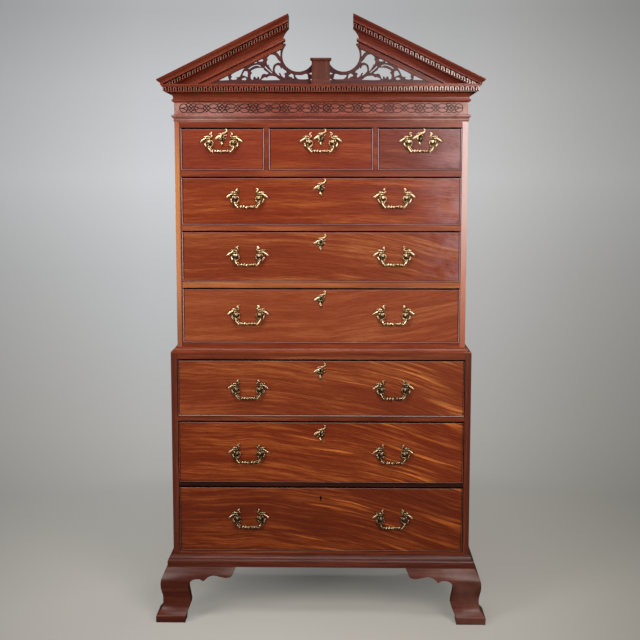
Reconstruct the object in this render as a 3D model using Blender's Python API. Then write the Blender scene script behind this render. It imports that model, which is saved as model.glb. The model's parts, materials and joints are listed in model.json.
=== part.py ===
"""Tallboy: a mahogany chest on chest with nine drawers, bail handles and a broken pediment.

Metres, +Z up. The drawers face -Y. The origin is on the floor, midway between the sides
and midway between the front toes and the back.
"""
import math

import bmesh
import bpy
from mathutils import Vector

# Fits
TOUCH_GAP = 0.0003          # between two fixed pieces that meet
OVERRUN = 0.002             # how far a cutter or a joined piece runs past the face it crosses

# Lower case
LOWER_WIDTH = 1.082
LOWER_DEPTH = 0.560
LOWER_SIDE = 0.0225         # board thickness, seen as the stile
LOWER_BOTTOM_BOARD = 0.020
LOWER_BOTTOM_RISE = 0.0187  # from the foot of the sides to the bottom board
LOWER_TOP_BOARD = 0.022
LONG_6_OPENING = 0.2430     # clear heights for the drawers, and the rails between them
LOWER_RAIL_2_THICKNESS = 0.0130
LONG_5_OPENING = 0.2295
LOWER_RAIL_1_THICKNESS = 0.0165
LONG_4_OPENING = 0.2090

# Upper case
UPPER_INSET = 0.0220        # each side, in from the lower case's side
UPPER_SETBACK = 0.022       # from the lower front back to the upper front
UPPER_SIDE = 0.0205
UPPER_BOTTOM_BOARD = 0.022
UPPER_BOTTOM_RISE = 0.0117
UPPER_TOP_BOARD = 0.0201
LONG_3_OPENING = 0.2000
UPPER_RAIL_3_THICKNESS = 0.0210
LONG_2_OPENING = 0.1840
UPPER_RAIL_2_THICKNESS = 0.0200
LONG_1_OPENING = 0.1720
UPPER_RAIL_1_THICKNESS = 0.0220
SHORT_OPENING = 0.1500
PARTITION = 0.0150          # upright board between two short drawers
PARTITION_CENTRE = 0.1930   # from the middle of the case

# Boards shared by both cases
BACK_PANEL = 0.012
RAIL_DEPTH = 0.080          # front to back, at full thickness
DUST_BOARD = 0.009          # thin board behind the rail

# Drawers
DRAWER_SIDE_CLEARANCE = 0.0010
DRAWER_TOP_CLEARANCE = 0.0015
DRAWER_FLOOR_CLEARANCE = 0.0005
DRAWER_BACK_CLEARANCE = 0.012
FRONT_THICKNESS = 0.022
BEAD_WIDTH = 0.0030
BEAD_PROUD = 0.0022
DRAWER_WALL = 0.010
DRAWER_BOTTOM = 0.008
BOX_TOP_DROP = 0.010        # the box sides stop this far below the top of the front

# Handles
LONG_HANDLE_X = 0.262       # from the middle of the case
SHORT_HANDLE_OFFSET = 0.00275 # outwards from the middle of an outer short drawer
POST_SPACING = 0.0825
POST_RADIUS = 0.0045
POST_PROJECTION = 0.0185
POST_SIDES = 8
BAIL_WIRE = 0.0019          # radius where it turns in the posts
BAIL_BORE = 0.0027
BAIL_BORE_SIDES = 6
BAIL_PIN_REACH = 0.0022     # how far a bail's end passes the middle of its post
BAIL_DROP = 0.0295
BAIL_FAT_SHARE = 1.55       # thickness of the leaf in the middle, against the wire
BAIL_THIN_SHARE = 0.80      # of the way out to a post, where the wire starts to thicken
PLATE_WIDTH = 0.0455
PLATE_HEIGHT = 0.056
PLATE_THICKNESS = 0.0026
PLATE_TOP_SHARE = 0.86      # top outline against the foot outline
HANDLE_HEIGHT_SHARES = (0.523, 0.492, 0.493, 0.530, 0.527, 0.576, 0.676)
KEYHOLE_HEIGHT_SHARES = (0.822, 0.796, 0.792, 0.793, 0.769, 0.770, 0.757)

# Keyholes and their plates
KEYHOLE_RADIUS = 0.0026
KEYHOLE_LENGTH = 0.0130
KEYHOLE_SLOT = 0.0028
KEYHOLE_DEPTH = 0.015
KEYHOLE_ARC_STEPS = 6
ESCUTCHEON_WIDTH = 0.045
ESCUTCHEON_HEIGHT = 0.060
ESCUTCHEON_THICKNESS = 0.0016

# Base and feet
FOOT_HEIGHT = 0.1987
TOE_FLARE = 0.0595          # how far a toe stands out past the case
FOOT_INNER = 0.006          # how far a foot's boards reach in under the case
GLUE_BLOCK = 0.044
GLUE_BLOCK_LIFT = 0.004
REAR_BRACKET = 0.020
FOOT_REACH = 0.240          # along each face, from the corner of the case
BASE_LEDGE = 0.017
BASE_LEDGE_REACH = 0.070    # in under the case
BASE_HEIGHT = 0.047
BASE_PROJECTION = 0.0205

# Waist, frieze and cornice
WAIST_HEIGHT = 0.0200
WAIST_PROJECTION = 0.0215
FRIEZE_HEIGHT = 0.0666
FRIEZE_BOARD = 0.020
FRIEZE_PROJECTION = 0.0100
CORNICE_HEIGHT = 0.0612
CORNICE_PROJECTION = 0.0415
CORNICE_DECK = 0.010
CORNICE_DECK_SINK = 0.010
DENTIL_PITCH = 0.0180
DENTIL_WIDTH = 0.0108
DENTIL_HEIGHT = 0.0140
DENTIL_PROUD = 0.0070

# Pediment
TIP_PROJECTION = 0.0540
TIP_HEIGHT = 0.0160         # of the outer tips above the cornice
RAKE_RISE_SHARE = 0.4833    # rise over run
RAKE_DEPTH = 0.1013         # measured straight down from the top edge
RAKE_BACK = 0.020           # behind the upper front
RAKE_END_X = 0.1377         # where the cornices stop short of the middle
RAKE_END_REACH = 0.0250     # the ends turn back, and reach this far in at most
RAKE_END_STUB = 0.004        # and run a little past the back
RAKE_END_RETURN_SHARE = 1.15 # of what the moulding stands out in front
RETURN_LIP = 0.0005         # the strip along the side is this much higher than the tip
FRET_THICKNESS = 0.012
FRET_BORDER = 0.0152
FRET_TIP_HEIGHT = 0.006
SCOOP_RADIUS = 0.0565
SCOOP_X = 0.0795
SCOOP_Z = 0.1015            # middle of the scoop above the cornice
SCOOP_STEPS = 12
PLINTH_HALF = 0.0315
PLINTH_DEPTH = 0.0300
PLINTH_FOOT_HEIGHT = 0.0141
PLINTH_FOOT_PROUD = 0.0030
PLINTH_SHAFT_HEIGHT = 0.0669
PLINTH_CAP_HEIGHT = 0.0085
PLINTH_CAP_PROUD = 0.0055

# Rows of drawers and the rails between them, bottom row first
LOWER_OPENINGS = (LONG_6_OPENING, LONG_5_OPENING, LONG_4_OPENING)
LOWER_RAILS = (LOWER_RAIL_2_THICKNESS, LOWER_RAIL_1_THICKNESS)
UPPER_OPENINGS = (LONG_3_OPENING, LONG_2_OPENING, LONG_1_OPENING, SHORT_OPENING)
UPPER_RAILS = (UPPER_RAIL_3_THICKNESS, UPPER_RAIL_2_THICKNESS, UPPER_RAIL_1_THICKNESS)

# Planes worked out from the sizes above
LOWER_FRONT = (TOE_FLARE - LOWER_DEPTH) / 2
CASE_BACK = LOWER_FRONT + LOWER_DEPTH
UPPER_FRONT = LOWER_FRONT + UPPER_SETBACK
PANEL_FRONT = CASE_BACK - BACK_PANEL
LOWER_HALF = LOWER_WIDTH / 2
UPPER_HALF = LOWER_HALF - UPPER_INSET
BASE_BOTTOM = FOOT_HEIGHT + TOUCH_GAP
LOWER_SIDE_BOTTOM = BASE_BOTTOM + BASE_LEDGE + TOUCH_GAP
LOWER_FLOOR = LOWER_SIDE_BOTTOM + LOWER_BOTTOM_RISE + LOWER_BOTTOM_BOARD
LOWER_CEILING = LOWER_FLOOR + sum(LOWER_OPENINGS) + sum(LOWER_RAILS)
LOWER_TOP = LOWER_CEILING + LOWER_TOP_BOARD
UPPER_BOTTOM = LOWER_TOP + TOUCH_GAP
UPPER_FLOOR = UPPER_BOTTOM + UPPER_BOTTOM_RISE + UPPER_BOTTOM_BOARD
UPPER_CEILING = UPPER_FLOOR + sum(UPPER_OPENINGS) + sum(UPPER_RAILS)
UPPER_TOP = UPPER_CEILING + UPPER_TOP_BOARD
FRIEZE_BOTTOM = UPPER_TOP + TOUCH_GAP
CORNICE_BOTTOM = FRIEZE_BOTTOM + FRIEZE_HEIGHT + TOUCH_GAP
CORNICE_TOP = CORNICE_BOTTOM + CORNICE_HEIGHT
PEDIMENT_BOTTOM = CORNICE_TOP + TOUCH_GAP
DECK_BOTTOM = CORNICE_TOP - CORNICE_DECK_SINK - CORNICE_DECK
TIP_X = UPPER_HALF + TIP_PROJECTION
TIP_Z = CORNICE_TOP + TIP_HEIGHT

# Outlines, in shares of the sizes that they follow
# How far the foot stands out, against the toe's flare, and the height, against the foot's height
FOOT_OGEE_SHARES = (
    (0.335, 1.0), (0.53, 0.902), (0.67, 0.82), (0.736, 0.70), (0.70, 0.59), (0.62, 0.48),
    (0.605, 0.37), (0.63, 0.27), (0.80, 0.195), (1.0, 0.13), (1.0, 0.0))
# Under edge of a foot: reach along the face, against FOOT_REACH, and the height
FOOT_BRACKET_SHARES = (
    (0.206, 0.0), (0.212, 0.125), (0.278, 0.345), (0.265, 0.47), (0.247, 0.62), (0.268, 0.737),
    (0.335, 0.790), (0.415, 0.797), (0.480, 0.766), (0.545, 0.825), (0.637, 0.861), (0.735, 0.842),
    (0.840, 0.828), (0.905, 0.840), (0.945, 0.900), (0.981, 1.0))
# Base moulding, outside only: projection and height
BASE_SHARES = (
    (1.0, 0.0), (1.0, 0.37), (0.90, 0.47), (0.72, 0.57), (0.62, 0.60), (0.60, 0.72), (0.38, 0.80),
    (0.20, 0.90), (0.16, 1.0))
WAIST_SHARES = (
    (1.0, 0.0), (1.0, 0.15), (0.86, 0.22), (0.60, 0.38), (0.38, 0.62), (0.28, 0.85), (0.24, 1.0))
FRIEZE_SHARES = (
    (0.10, 0.0), (0.32, 0.06), (0.32, 0.14), (0.55, 0.22), (1.0, 0.28), (1.0, 0.33), (0.15, 0.37),
    (0.0, 0.39), (0.0, 1.0))
# Cornice from below: small round, cove, the band that carries the dentils, fascia
CORNICE_SHARES = (
    (0.0, 0.0), (0.06, 0.03), (0.19, 0.10), (0.19, 0.16), (0.08, 0.20), (0.08, 0.30), (0.14, 0.40),
    (0.30, 0.49), (0.62, 0.565), (0.66, 0.59), (0.66, 0.855), (0.95, 0.87), (1.0, 1.0))
DENTIL_TOP_SHARE = 0.84
# Raking cornice: projection against the tip's, and depth below the top edge against RAKE_DEPTH
RAKE_SHARES = (
    (1.0, 0.0), (0.98, 0.05), (0.82, 0.17), (0.77, 0.20), (0.77, 0.25), (0.56, 0.258), (0.47, 0.262),
    (0.47, 0.43), (0.36, 0.455), (0.14, 0.57), (0.07, 0.68), (0.07, 0.70), (0.18, 0.74), (0.18, 0.81),
    (0.07, 0.85), (0.07, 1.0))
RAKE_DENTIL_TOP_SHARE = 0.27
# Handle plate, from its post, outwards and up
PLATE_SHARES = (
    (-0.19, 0.68), (-0.08, 0.64), (-0.06, 0.49), (0.26, 0.455), (0.48, 0.41), (0.66, 0.25),
    (0.79, 0.13), (0.69, 0.09), (0.44, 0.14), (0.38, -0.13), (0.20, -0.32), (0.06, -0.20),
    (-0.15, -0.13), (-0.19, 0.06), (-0.12, 0.26), (-0.22, 0.50))
# Keyhole plate, from the middle of the keyhole, to the right and up
ESCUTCHEON_SHARES = (
    (0.30, 0.50), (0.44, 0.40), (0.30, 0.26), (0.42, 0.06), (0.28, -0.12), (0.20, -0.30),
    (0.05, -0.38), (0.0, -0.50), (-0.06, -0.36), (-0.26, -0.34), (-0.50, -0.20), (-0.34, -0.06),
    (-0.40, 0.16), (-0.22, 0.34), (0.06, 0.36))
# A bail from the post to the middle: across, against half the post spacing, and down
BAIL_SHARES = (
    (0.84, 0.0), (0.80, 0.09), (0.855, 0.26), (0.915, 0.42), (0.905, 0.60), (0.85, 0.80),
    (0.73, 0.93), (0.55, 0.975), (0.35, 0.985), (0.16, 0.99), (0.0, 1.0))
# Openings pierced in one side of the fret: outwards from the end of the raking cornice to the corner
# where the border meets it, and up from the border to the cornice
FRET_OPENING_SHARES = (
    ((0.97, 0.20), (0.87, 0.88), (0.85, 0.48), (0.83, 0.06)),
    ((0.82, 0.86), (0.62, 0.88), (0.65, 0.70), (0.67, 0.41), (0.75, 0.32), (0.77, 0.17),
     (0.81, 0.21), (0.84, 0.63)),
    ((0.60, 0.86), (0.56, 0.76), (0.55, 0.32), (0.60, 0.33), (0.63, 0.42), (0.63, 0.66)),
    ((0.50, 0.59), (0.46, 0.68), (0.36, 0.62), (0.31, 0.52), (0.30, 0.42), (0.23, 0.33),
     (0.32, 0.27), (0.36, 0.10), (0.43, 0.07), (0.51, 0.13), (0.52, 0.38)),
    ((0.33, 0.03), (0.29, 0.19), (0.20, 0.22), (0.12, 0.13), (0.03, 0.02)),
    ((0.40, 0.90), (0.33, 0.91), (0.32, 0.82), (0.36, 0.79)),
    ((0.23, 0.90), (0.18, 0.91), (0.11, 0.86), (0.08, 0.77), (0.04, 0.64), (0.10, 0.60),
     (0.15, 0.43), (0.20, 0.55), (0.25, 0.70), (0.24, 0.86)),
    ((0.11, 0.93), (0.04, 0.94), (0.04, 0.81), (0.08, 0.87)),
    ((0.11, 0.41), (0.08, 0.51), (0.03, 0.45), (-0.06, 0.28), (-0.05, 0.15), (-0.01, 0.12),
     (0.03, 0.20), (0.10, 0.30)))
# Openings under the scoop: from its middle, against its radius, and up from the border to its foot
FRET_LOW_OPENING_SHARES = (
    ((0.49, 0.67), (0.30, 0.60), (0.33, 0.36), (0.50, 0.25), (0.62, 0.43)),
    ((0.17, 0.60), (-0.13, 0.53), (-0.48, 0.60), (-0.58, 0.39), (-0.36, 0.21), (0.12, 0.21)))


def start_clean():
    """Take out whatever the file holds."""
    for item in list(bpy.data.objects):
        bpy.data.objects.remove(item)


def make_material(name, colour, roughness, metallic=0.0):
    material = bpy.data.materials.new(name)
    material.use_nodes = True
    shader = material.node_tree.nodes["Principled BSDF"]
    shader.inputs["Base Color"].default_value = (*colour, 1.0)
    shader.inputs["Roughness"].default_value = roughness
    shader.inputs["Metallic"].default_value = metallic
    return material


def mesh_from_rings(rings):
    """A closed solid through a list of equal closed rings, with a face at each end."""
    shape = bmesh.new()
    loops = [[shape.verts.new(point) for point in ring] for ring in rings]
    count = len(loops[0])
    for near, far in zip(loops, loops[1:]):
        for index in range(count):
            after = (index + 1) % count
            shape.faces.new((near[index], near[after], far[after], far[index]))
    shape.faces.new(loops[0])
    shape.faces.new(loops[-1])
    bmesh.ops.recalc_face_normals(shape, faces=shape.faces)
    mesh = bpy.data.meshes.new("solid")
    shape.to_mesh(mesh)
    shape.free()
    return mesh


def prism_x(outline, start, end):
    """An outline of (y, z) points, run along X."""
    return mesh_from_rings([[(x, y, z) for y, z in outline] for x in (start, end)])


def prism_y(outline, start, end):
    """An outline of (x, z) points, run along Y."""
    return mesh_from_rings([[(x, y, z) for x, z in outline] for y in (start, end)])


def prism_z(outline, start, end):
    """An outline of (x, y) points, run along Z."""
    return mesh_from_rings([[(x, y, z) for x, y in outline] for z in (start, end)])


def block(low, high):
    """A plain board between two corners."""
    outline = ((low[0], low[1]), (high[0], low[1]), (high[0], high[1]), (low[0], high[1]))
    return prism_z(outline, low[2], high[2])


def turned(middle, radius, sides, axis, reach):
    """A round bar of flat sides that starts at middle and runs along axis."""
    along = Vector(axis)
    across = along.orthogonal().normalized()
    other = along.cross(across).normalized()
    rings = []
    for step in (0.0, reach):
        ring = []
        for index in range(sides):
            angle = math.tau * (index + 0.5) / sides
            ring.append(Vector(middle) + along * step
                        + across * radius * math.cos(angle) + other * radius * math.sin(angle))
        rings.append(ring)
    return mesh_from_rings(rings)


def merged(meshes):
    """Several meshes as one, still as separate bodies."""
    shape = bmesh.new()
    for mesh in meshes:
        shape.from_mesh(mesh)
    together = bpy.data.meshes.new("bodies")
    shape.to_mesh(together)
    shape.free()
    return together


def combined(mesh, other, operation):
    """The solid left by a Boolean of two meshes."""
    base = bpy.data.objects.new("base", mesh)
    tool = bpy.data.objects.new("tool", other)
    for item in (base, tool):
        bpy.context.collection.objects.link(item)
    cut = base.modifiers.new("cut", "BOOLEAN")
    cut.operation = operation
    cut.object = tool
    bpy.context.view_layer.update()
    result = bpy.data.meshes.new_from_object(base.evaluated_get(bpy.context.evaluated_depsgraph_get()))
    for item in (base, tool):
        bpy.data.objects.remove(item)
    return result


def mirrored(mesh):
    """The same solid on the other side of the middle."""
    shape = bmesh.new()
    shape.from_mesh(mesh)
    for vert in shape.verts:
        vert.co.x = -vert.co.x
    bmesh.ops.reverse_faces(shape, faces=shape.faces)
    other = bpy.data.meshes.new("mirrored")
    shape.to_mesh(other)
    shape.free()
    return other


def add_piece(name, mesh, material, origin=(0.0, 0.0, 0.0)):
    """A named piece. Its mesh is given in world places and its origin is put where asked."""
    moved = Vector(origin)
    for vert in mesh.vertices:
        vert.co -= moved
    mesh.name = name
    mesh.materials.clear()
    mesh.materials.append(material)
    piece = bpy.data.objects.new(name, mesh)
    piece.location = moved
    bpy.context.collection.objects.link(piece)
    return piece


def wrap_moulding(outline, half, front):
    """A moulding of (projection, z) points round the front and both sides, mitred at the corners."""
    places = ((-1, CASE_BACK, 0), (-1, front, 1), (1, front, 1), (1, CASE_BACK, 0))
    rings = []
    for side, y, turns in places:
        rings.append([(side * (half + out), y - out * turns, z) for out, z in outline])
    return mesh_from_rings(rings)


def scaled_outline(shares, width, height, bottom=0.0):
    return [(across * width, bottom + up * height) for across, up in shares]


def add_case_sides(wood):
    for side, label in ((-1, "left"), (1, "right")):
        for name, half, thick, front, bottom, top in (
                ("upper_side_", UPPER_HALF, UPPER_SIDE, UPPER_FRONT, UPPER_BOTTOM, UPPER_TOP),
                ("lower_side_", LOWER_HALF, LOWER_SIDE, LOWER_FRONT, LOWER_SIDE_BOTTOM, LOWER_TOP)):
            edges = sorted((side * half, side * (half - thick)))
            board = block((edges[0], front, bottom), (edges[1], CASE_BACK, top))
            add_piece(name + label, board, wood)


def add_case_boards(show_wood, plain_wood):
    """Tops, bottoms and back panels, each held between the sides."""
    upper_reach = UPPER_HALF - UPPER_SIDE - TOUCH_GAP
    lower_reach = LOWER_HALF - LOWER_SIDE - TOUCH_GAP
    back = PANEL_FRONT - TOUCH_GAP
    for name, reach, front, top, thick in (
            ("lower_bottom_board", lower_reach, LOWER_FRONT, LOWER_FLOOR, LOWER_BOTTOM_BOARD),
            ("lower_top_board", lower_reach, LOWER_FRONT, LOWER_TOP, LOWER_TOP_BOARD),
            ("upper_bottom_board", upper_reach, UPPER_FRONT, UPPER_FLOOR, UPPER_BOTTOM_BOARD),
            ("upper_top_board", upper_reach, UPPER_FRONT, UPPER_TOP, UPPER_TOP_BOARD)):
        add_piece(name, block((-reach, front, top - thick), (reach, back, top)), show_wood)
    for name, reach, bottom, top in (
            ("lower_back_panel", lower_reach, LOWER_SIDE_BOTTOM, LOWER_TOP),
            ("upper_back_panel", upper_reach, UPPER_BOTTOM, DECK_BOTTOM - TOUCH_GAP)):
        add_piece(name, block((-reach, PANEL_FRONT, bottom), (reach, CASE_BACK, top)), plain_wood)


def rail_mesh(front, reach, bottom, top):
    """A rail across the front with a thin dust board behind it, level on top."""
    back = PANEL_FRONT - TOUCH_GAP
    outline = ((front, bottom), (front + RAIL_DEPTH, bottom), (front + RAIL_DEPTH, top - DUST_BOARD),
               (back, top - DUST_BOARD), (back, top), (front, top))
    return prism_x(outline, -reach, reach)


def add_rails(wood):
    """Rails between the rows. The one under the short drawers carries their two partitions."""
    lower_reach = LOWER_HALF - LOWER_SIDE - TOUCH_GAP
    level = LOWER_FLOOR
    for row, thick in enumerate(LOWER_RAILS):
        level += LOWER_OPENINGS[row]
        name = "lower_rail_%d" % (len(LOWER_RAILS) - row)
        add_piece(name, rail_mesh(LOWER_FRONT, lower_reach, level, level + thick), wood)
        level += thick
    upper_reach = UPPER_HALF - UPPER_SIDE - TOUCH_GAP
    level = UPPER_FLOOR
    for row, thick in enumerate(UPPER_RAILS):
        level += UPPER_OPENINGS[row]
        mesh = rail_mesh(UPPER_FRONT, upper_reach, level, level + thick)
        if row == len(UPPER_RAILS) - 1:
            uprights = []
            for side in (-1, 1):
                centre = side * PARTITION_CENTRE
                low = (centre - PARTITION / 2, UPPER_FRONT, level + thick - OVERRUN)
                high = (centre + PARTITION / 2, PANEL_FRONT - TOUCH_GAP, UPPER_CEILING - TOUCH_GAP)
                uprights.append(block(low, high))
            mesh = combined(mesh, merged(uprights), "UNION")
        add_piece("upper_rail_%d" % (len(UPPER_RAILS) - row), mesh, wood)
        level += thick


def add_base_moulding(wood):
    """Moulding round the foot of the case, with a ledge that the case stands on."""
    outer = scaled_outline(BASE_SHARES, BASE_PROJECTION, BASE_HEIGHT, BASE_BOTTOM)
    ledge_top = BASE_BOTTOM + BASE_LEDGE
    inner = [(TOUCH_GAP, outer[-1][1]), (TOUCH_GAP, ledge_top), (-BASE_LEDGE_REACH, ledge_top),
             (-BASE_LEDGE_REACH, BASE_BOTTOM)]
    add_piece("base_moulding", wrap_moulding(outer + inner, LOWER_HALF, LOWER_FRONT), wood)


def add_waist_moulding(wood):
    outer = scaled_outline(WAIST_SHARES, WAIST_PROJECTION, WAIST_HEIGHT, UPPER_BOTTOM)
    inner = [(TOUCH_GAP, outer[-1][1]), (TOUCH_GAP, UPPER_BOTTOM)]
    add_piece("waist_moulding", wrap_moulding(outer + inner, UPPER_HALF, UPPER_FRONT), wood)


def add_frieze(wood):
    """Board with a small moulding along its foot, on top of the upper case."""
    outer = [(out * FRIEZE_PROJECTION, FRIEZE_BOTTOM + up * FRIEZE_HEIGHT) for out, up in FRIEZE_SHARES]
    inner = [(-FRIEZE_BOARD, outer[-1][1]), (-FRIEZE_BOARD, FRIEZE_BOTTOM)]
    add_piece("frieze", wrap_moulding(outer + inner, UPPER_HALF, UPPER_FRONT), wood)


def dentil_places(start, end):
    """Middles of the dentils between the outer edges of the first and the last one."""
    first = start + DENTIL_WIDTH / 2
    run = end - start - DENTIL_WIDTH
    count = round(run / DENTIL_PITCH)
    return [first + index * run / count for index in range(count + 1)]


def cornice_dentils():
    top = CORNICE_BOTTOM + DENTIL_TOP_SHARE * CORNICE_HEIGHT
    face = CORNICE_SHARES[10][0] * CORNICE_PROJECTION
    inside = face - OVERRUN
    outside = face + DENTIL_PROUD
    half = DENTIL_WIDTH / 2
    blocks = []
    for x in dentil_places(-UPPER_HALF - outside, UPPER_HALF + outside):
        blocks.append(block((x - half, UPPER_FRONT - outside, top - DENTIL_HEIGHT),
                            (x + half, UPPER_FRONT - inside, top)))
    for y in dentil_places(UPPER_FRONT - outside, CASE_BACK - OVERRUN)[1:]:
        for side in (-1, 1):
            edges = sorted((side * (UPPER_HALF + inside), side * (UPPER_HALF + outside)))
            blocks.append(block((edges[0], y - half, top - DENTIL_HEIGHT), (edges[1], y + half, top)))
    return merged(blocks)


def add_cornice(wood):
    """Level cornice with dentils, and the deck board that closes the case."""
    outer = [(out * CORNICE_PROJECTION, CORNICE_BOTTOM + up * CORNICE_HEIGHT)
             for out, up in CORNICE_SHARES]
    inner = [(-FRIEZE_BOARD, CORNICE_TOP), (-FRIEZE_BOARD, CORNICE_BOTTOM)]
    mesh = wrap_moulding(outer + inner, UPPER_HALF, UPPER_FRONT)
    reach = UPPER_HALF - FRIEZE_BOARD + OVERRUN
    deck = block((-reach, UPPER_FRONT + FRIEZE_BOARD - OVERRUN, DECK_BOTTOM),
                 (reach, CASE_BACK, DECK_BOTTOM + CORNICE_DECK))
    mesh = combined(mesh, deck, "UNION")
    add_piece("cornice", combined(mesh, cornice_dentils(), "UNION"), wood)


def rake_top(x):
    """Height of the raking top edge at a distance from the middle."""
    return TIP_Z + (TIP_X - x) * RAKE_RISE_SHARE


def rake_end(out):
    """How far from the middle the returned end lies, where the moulding stands out by so much."""
    return RAKE_END_X - min(RAKE_END_RETURN_SHARE * out, RAKE_END_REACH)


def rake_body():
    """The right raking cornice: a returned inner end, the run up to the mitre, and back along the side."""
    outline = [(out * TIP_PROJECTION, down * RAKE_DEPTH) for out, down in RAKE_SHARES]
    outline += [(-RAKE_BACK, RAKE_DEPTH), (-RAKE_BACK, 0.0)]
    rings = ([], [], [], [])
    for out, down in outline:
        end_x = rake_end(out)
        mitre_x = UPPER_HALF + out
        rings[0].append((end_x, UPPER_FRONT + RAKE_BACK + RAKE_END_STUB, rake_top(end_x) - down))
        rings[1].append((end_x, UPPER_FRONT - out, rake_top(end_x) - down))
        rings[2].append((mitre_x, UPPER_FRONT - out, rake_top(mitre_x) - down))
        rings[3].append((mitre_x, CASE_BACK, rake_top(mitre_x) - down))
    return mesh_from_rings(rings)


def rake_dentils():
    """Dentils square to the ground, that step up with the rake."""
    face = RAKE_SHARES[6][0] * TIP_PROJECTION
    top = RAKE_DENTIL_TOP_SHARE * RAKE_DEPTH
    half = DENTIL_WIDTH / 2
    first = rake_end(face) + half + OVERRUN
    last = TIP_X - (top + DENTIL_HEIGHT) / RAKE_RISE_SHARE
    blocks = []
    for index in range(int((last - first) // DENTIL_PITCH) + 1):
        x = first + index * DENTIL_PITCH
        corners = []
        for edge, drop in ((x - half, top), (x + half, top),
                           (x + half, top + DENTIL_HEIGHT), (x - half, top + DENTIL_HEIGHT)):
            corners.append((edge, rake_top(edge) - drop))
        blocks.append(prism_y(corners, UPPER_FRONT - face - DENTIL_PROUD, UPPER_FRONT - face + OVERRUN))
    return merged(blocks)


def add_raking_cornices(wood):
    """Each stands on the level cornice. Along the side only a low strip of its top moulding is left."""
    reach = TIP_X + OVERRUN
    back = CASE_BACK + OVERRUN
    below = block((0.0, UPPER_FRONT - 2 * TIP_PROJECTION, PEDIMENT_BOTTOM - 2 * RAKE_DEPTH),
                  (reach, back, PEDIMENT_BOTTOM))
    above = block((UPPER_HALF - RAKE_BACK - OVERRUN, UPPER_FRONT + RAKE_BACK + OVERRUN, TIP_Z + RETURN_LIP),
                  (reach, back, TIP_Z + RAKE_DEPTH))
    mesh = combined(rake_body(), rake_dentils(), "UNION")
    mesh = combined(mesh, below, "DIFFERENCE")
    mesh = combined(mesh, above, "DIFFERENCE")
    add_piece("raking_cornice_left", mirrored(mesh), wood)
    add_piece("raking_cornice_right", mesh, wood)


def scoop_points():
    """The round dip in the fret beside the plinth, from its outer side in to the plinth."""
    floor = PEDIMENT_BOTTOM
    stop = math.acos((SCOOP_X - PLINTH_HALF) / SCOOP_RADIUS)
    start = 0.0
    end = -(math.pi - stop)
    points = []
    for step in range(SCOOP_STEPS + 1):
        angle = start + (end - start) * step / SCOOP_STEPS
        points.append((SCOOP_X + SCOOP_RADIUS * math.cos(angle),
                       floor + SCOOP_Z + SCOOP_RADIUS * math.sin(angle)))
    return points


def fret_top(x):
    """Height of the fret board, close under the raking cornice."""
    return rake_top(x) - RAKE_DEPTH - TOUCH_GAP


def reach_of_fret(height):
    """How far from the middle the fret board is this high."""
    return TIP_X - (height + RAKE_DEPTH + TOUCH_GAP - TIP_Z) / RAKE_RISE_SHARE


def add_fret(wood):
    """Pierced board under the raking cornices, that runs behind the plinth."""
    tip_z = PEDIMENT_BOTTOM + FRET_TIP_HEIGHT
    right = [(reach_of_fret(tip_z), PEDIMENT_BOTTOM), (reach_of_fret(tip_z), tip_z),
             (RAKE_END_X, fret_top(RAKE_END_X))] + scoop_points()
    left = [(-x, z) for x, z in reversed(right)]
    board = prism_y(right + left, UPPER_FRONT, UPPER_FRONT + FRET_THICKNESS)
    border = PEDIMENT_BOTTOM + FRET_BORDER
    outlines = []
    for shares in FRET_OPENING_SHARES:
        points = []
        for along, up in shares:
            x = RAKE_END_X + along * (reach_of_fret(border) - RAKE_END_X)
            points.append((x, border + up * (fret_top(x) - border)))
        outlines.append(points)
    for shares in FRET_LOW_OPENING_SHARES:
        outlines.append([(SCOOP_X + along * SCOOP_RADIUS,
                          border + up * (SCOOP_Z - SCOOP_RADIUS - FRET_BORDER)) for along, up in shares])
    openings = []
    for points in outlines:
        for side in (-1, 1):
            openings.append(prism_y([(side * x, z) for x, z in points], UPPER_FRONT - OVERRUN,
                                    UPPER_FRONT + FRET_THICKNESS + OVERRUN))
    add_piece("tympanum_fret", combined(board, merged(openings), "DIFFERENCE"), wood)


def add_plinth(wood):
    """Block in the gap of the pediment, with a foot and a cap, its back against the fret."""
    foot_top = PEDIMENT_BOTTOM + PLINTH_FOOT_HEIGHT
    shaft_top = foot_top + PLINTH_SHAFT_HEIGHT
    cap_top = shaft_top + PLINTH_CAP_HEIGHT
    rings = []
    for z, proud in ((PEDIMENT_BOTTOM, PLINTH_FOOT_PROUD), (foot_top, PLINTH_FOOT_PROUD), (foot_top, 0.0),
                     (shaft_top, 0.0), (shaft_top, PLINTH_CAP_PROUD), (cap_top, PLINTH_CAP_PROUD)):
        half = PLINTH_HALF + proud
        front = UPPER_FRONT - PLINTH_DEPTH - proud
        back = UPPER_FRONT - TOUCH_GAP
        rings.append([(-half, front, z), (half, front, z), (half, back, z), (-half, back, z)])
    add_piece("pediment_plinth", mesh_from_rings(rings), wood)


def foot_cutter_outline(start, direction):
    """Space under a bracket, as points along a face from a corner of the case, and up."""
    points = [(start + direction * along * FOOT_REACH, up * FOOT_HEIGHT)
              for along, up in FOOT_BRACKET_SHARES]
    near = start + direction * FOOT_BRACKET_SHARES[0][0] * FOOT_REACH
    far = start + direction * (FOOT_REACH + OVERRUN)
    return ([(near, -OVERRUN)] + points[:-1]
            + [(points[-1][0], FOOT_HEIGHT + OVERRUN), (far, FOOT_HEIGHT + OVERRUN), (far, -OVERRUN)])


def foot_profile():
    """Ogee from the top down to the floor, then up the flat inner side."""
    outer = scaled_outline(FOOT_OGEE_SHARES, TOE_FLARE, FOOT_HEIGHT)
    return outer + [(-FOOT_INNER, 0.0), (-FOOT_INNER, FOOT_HEIGHT)]


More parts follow.
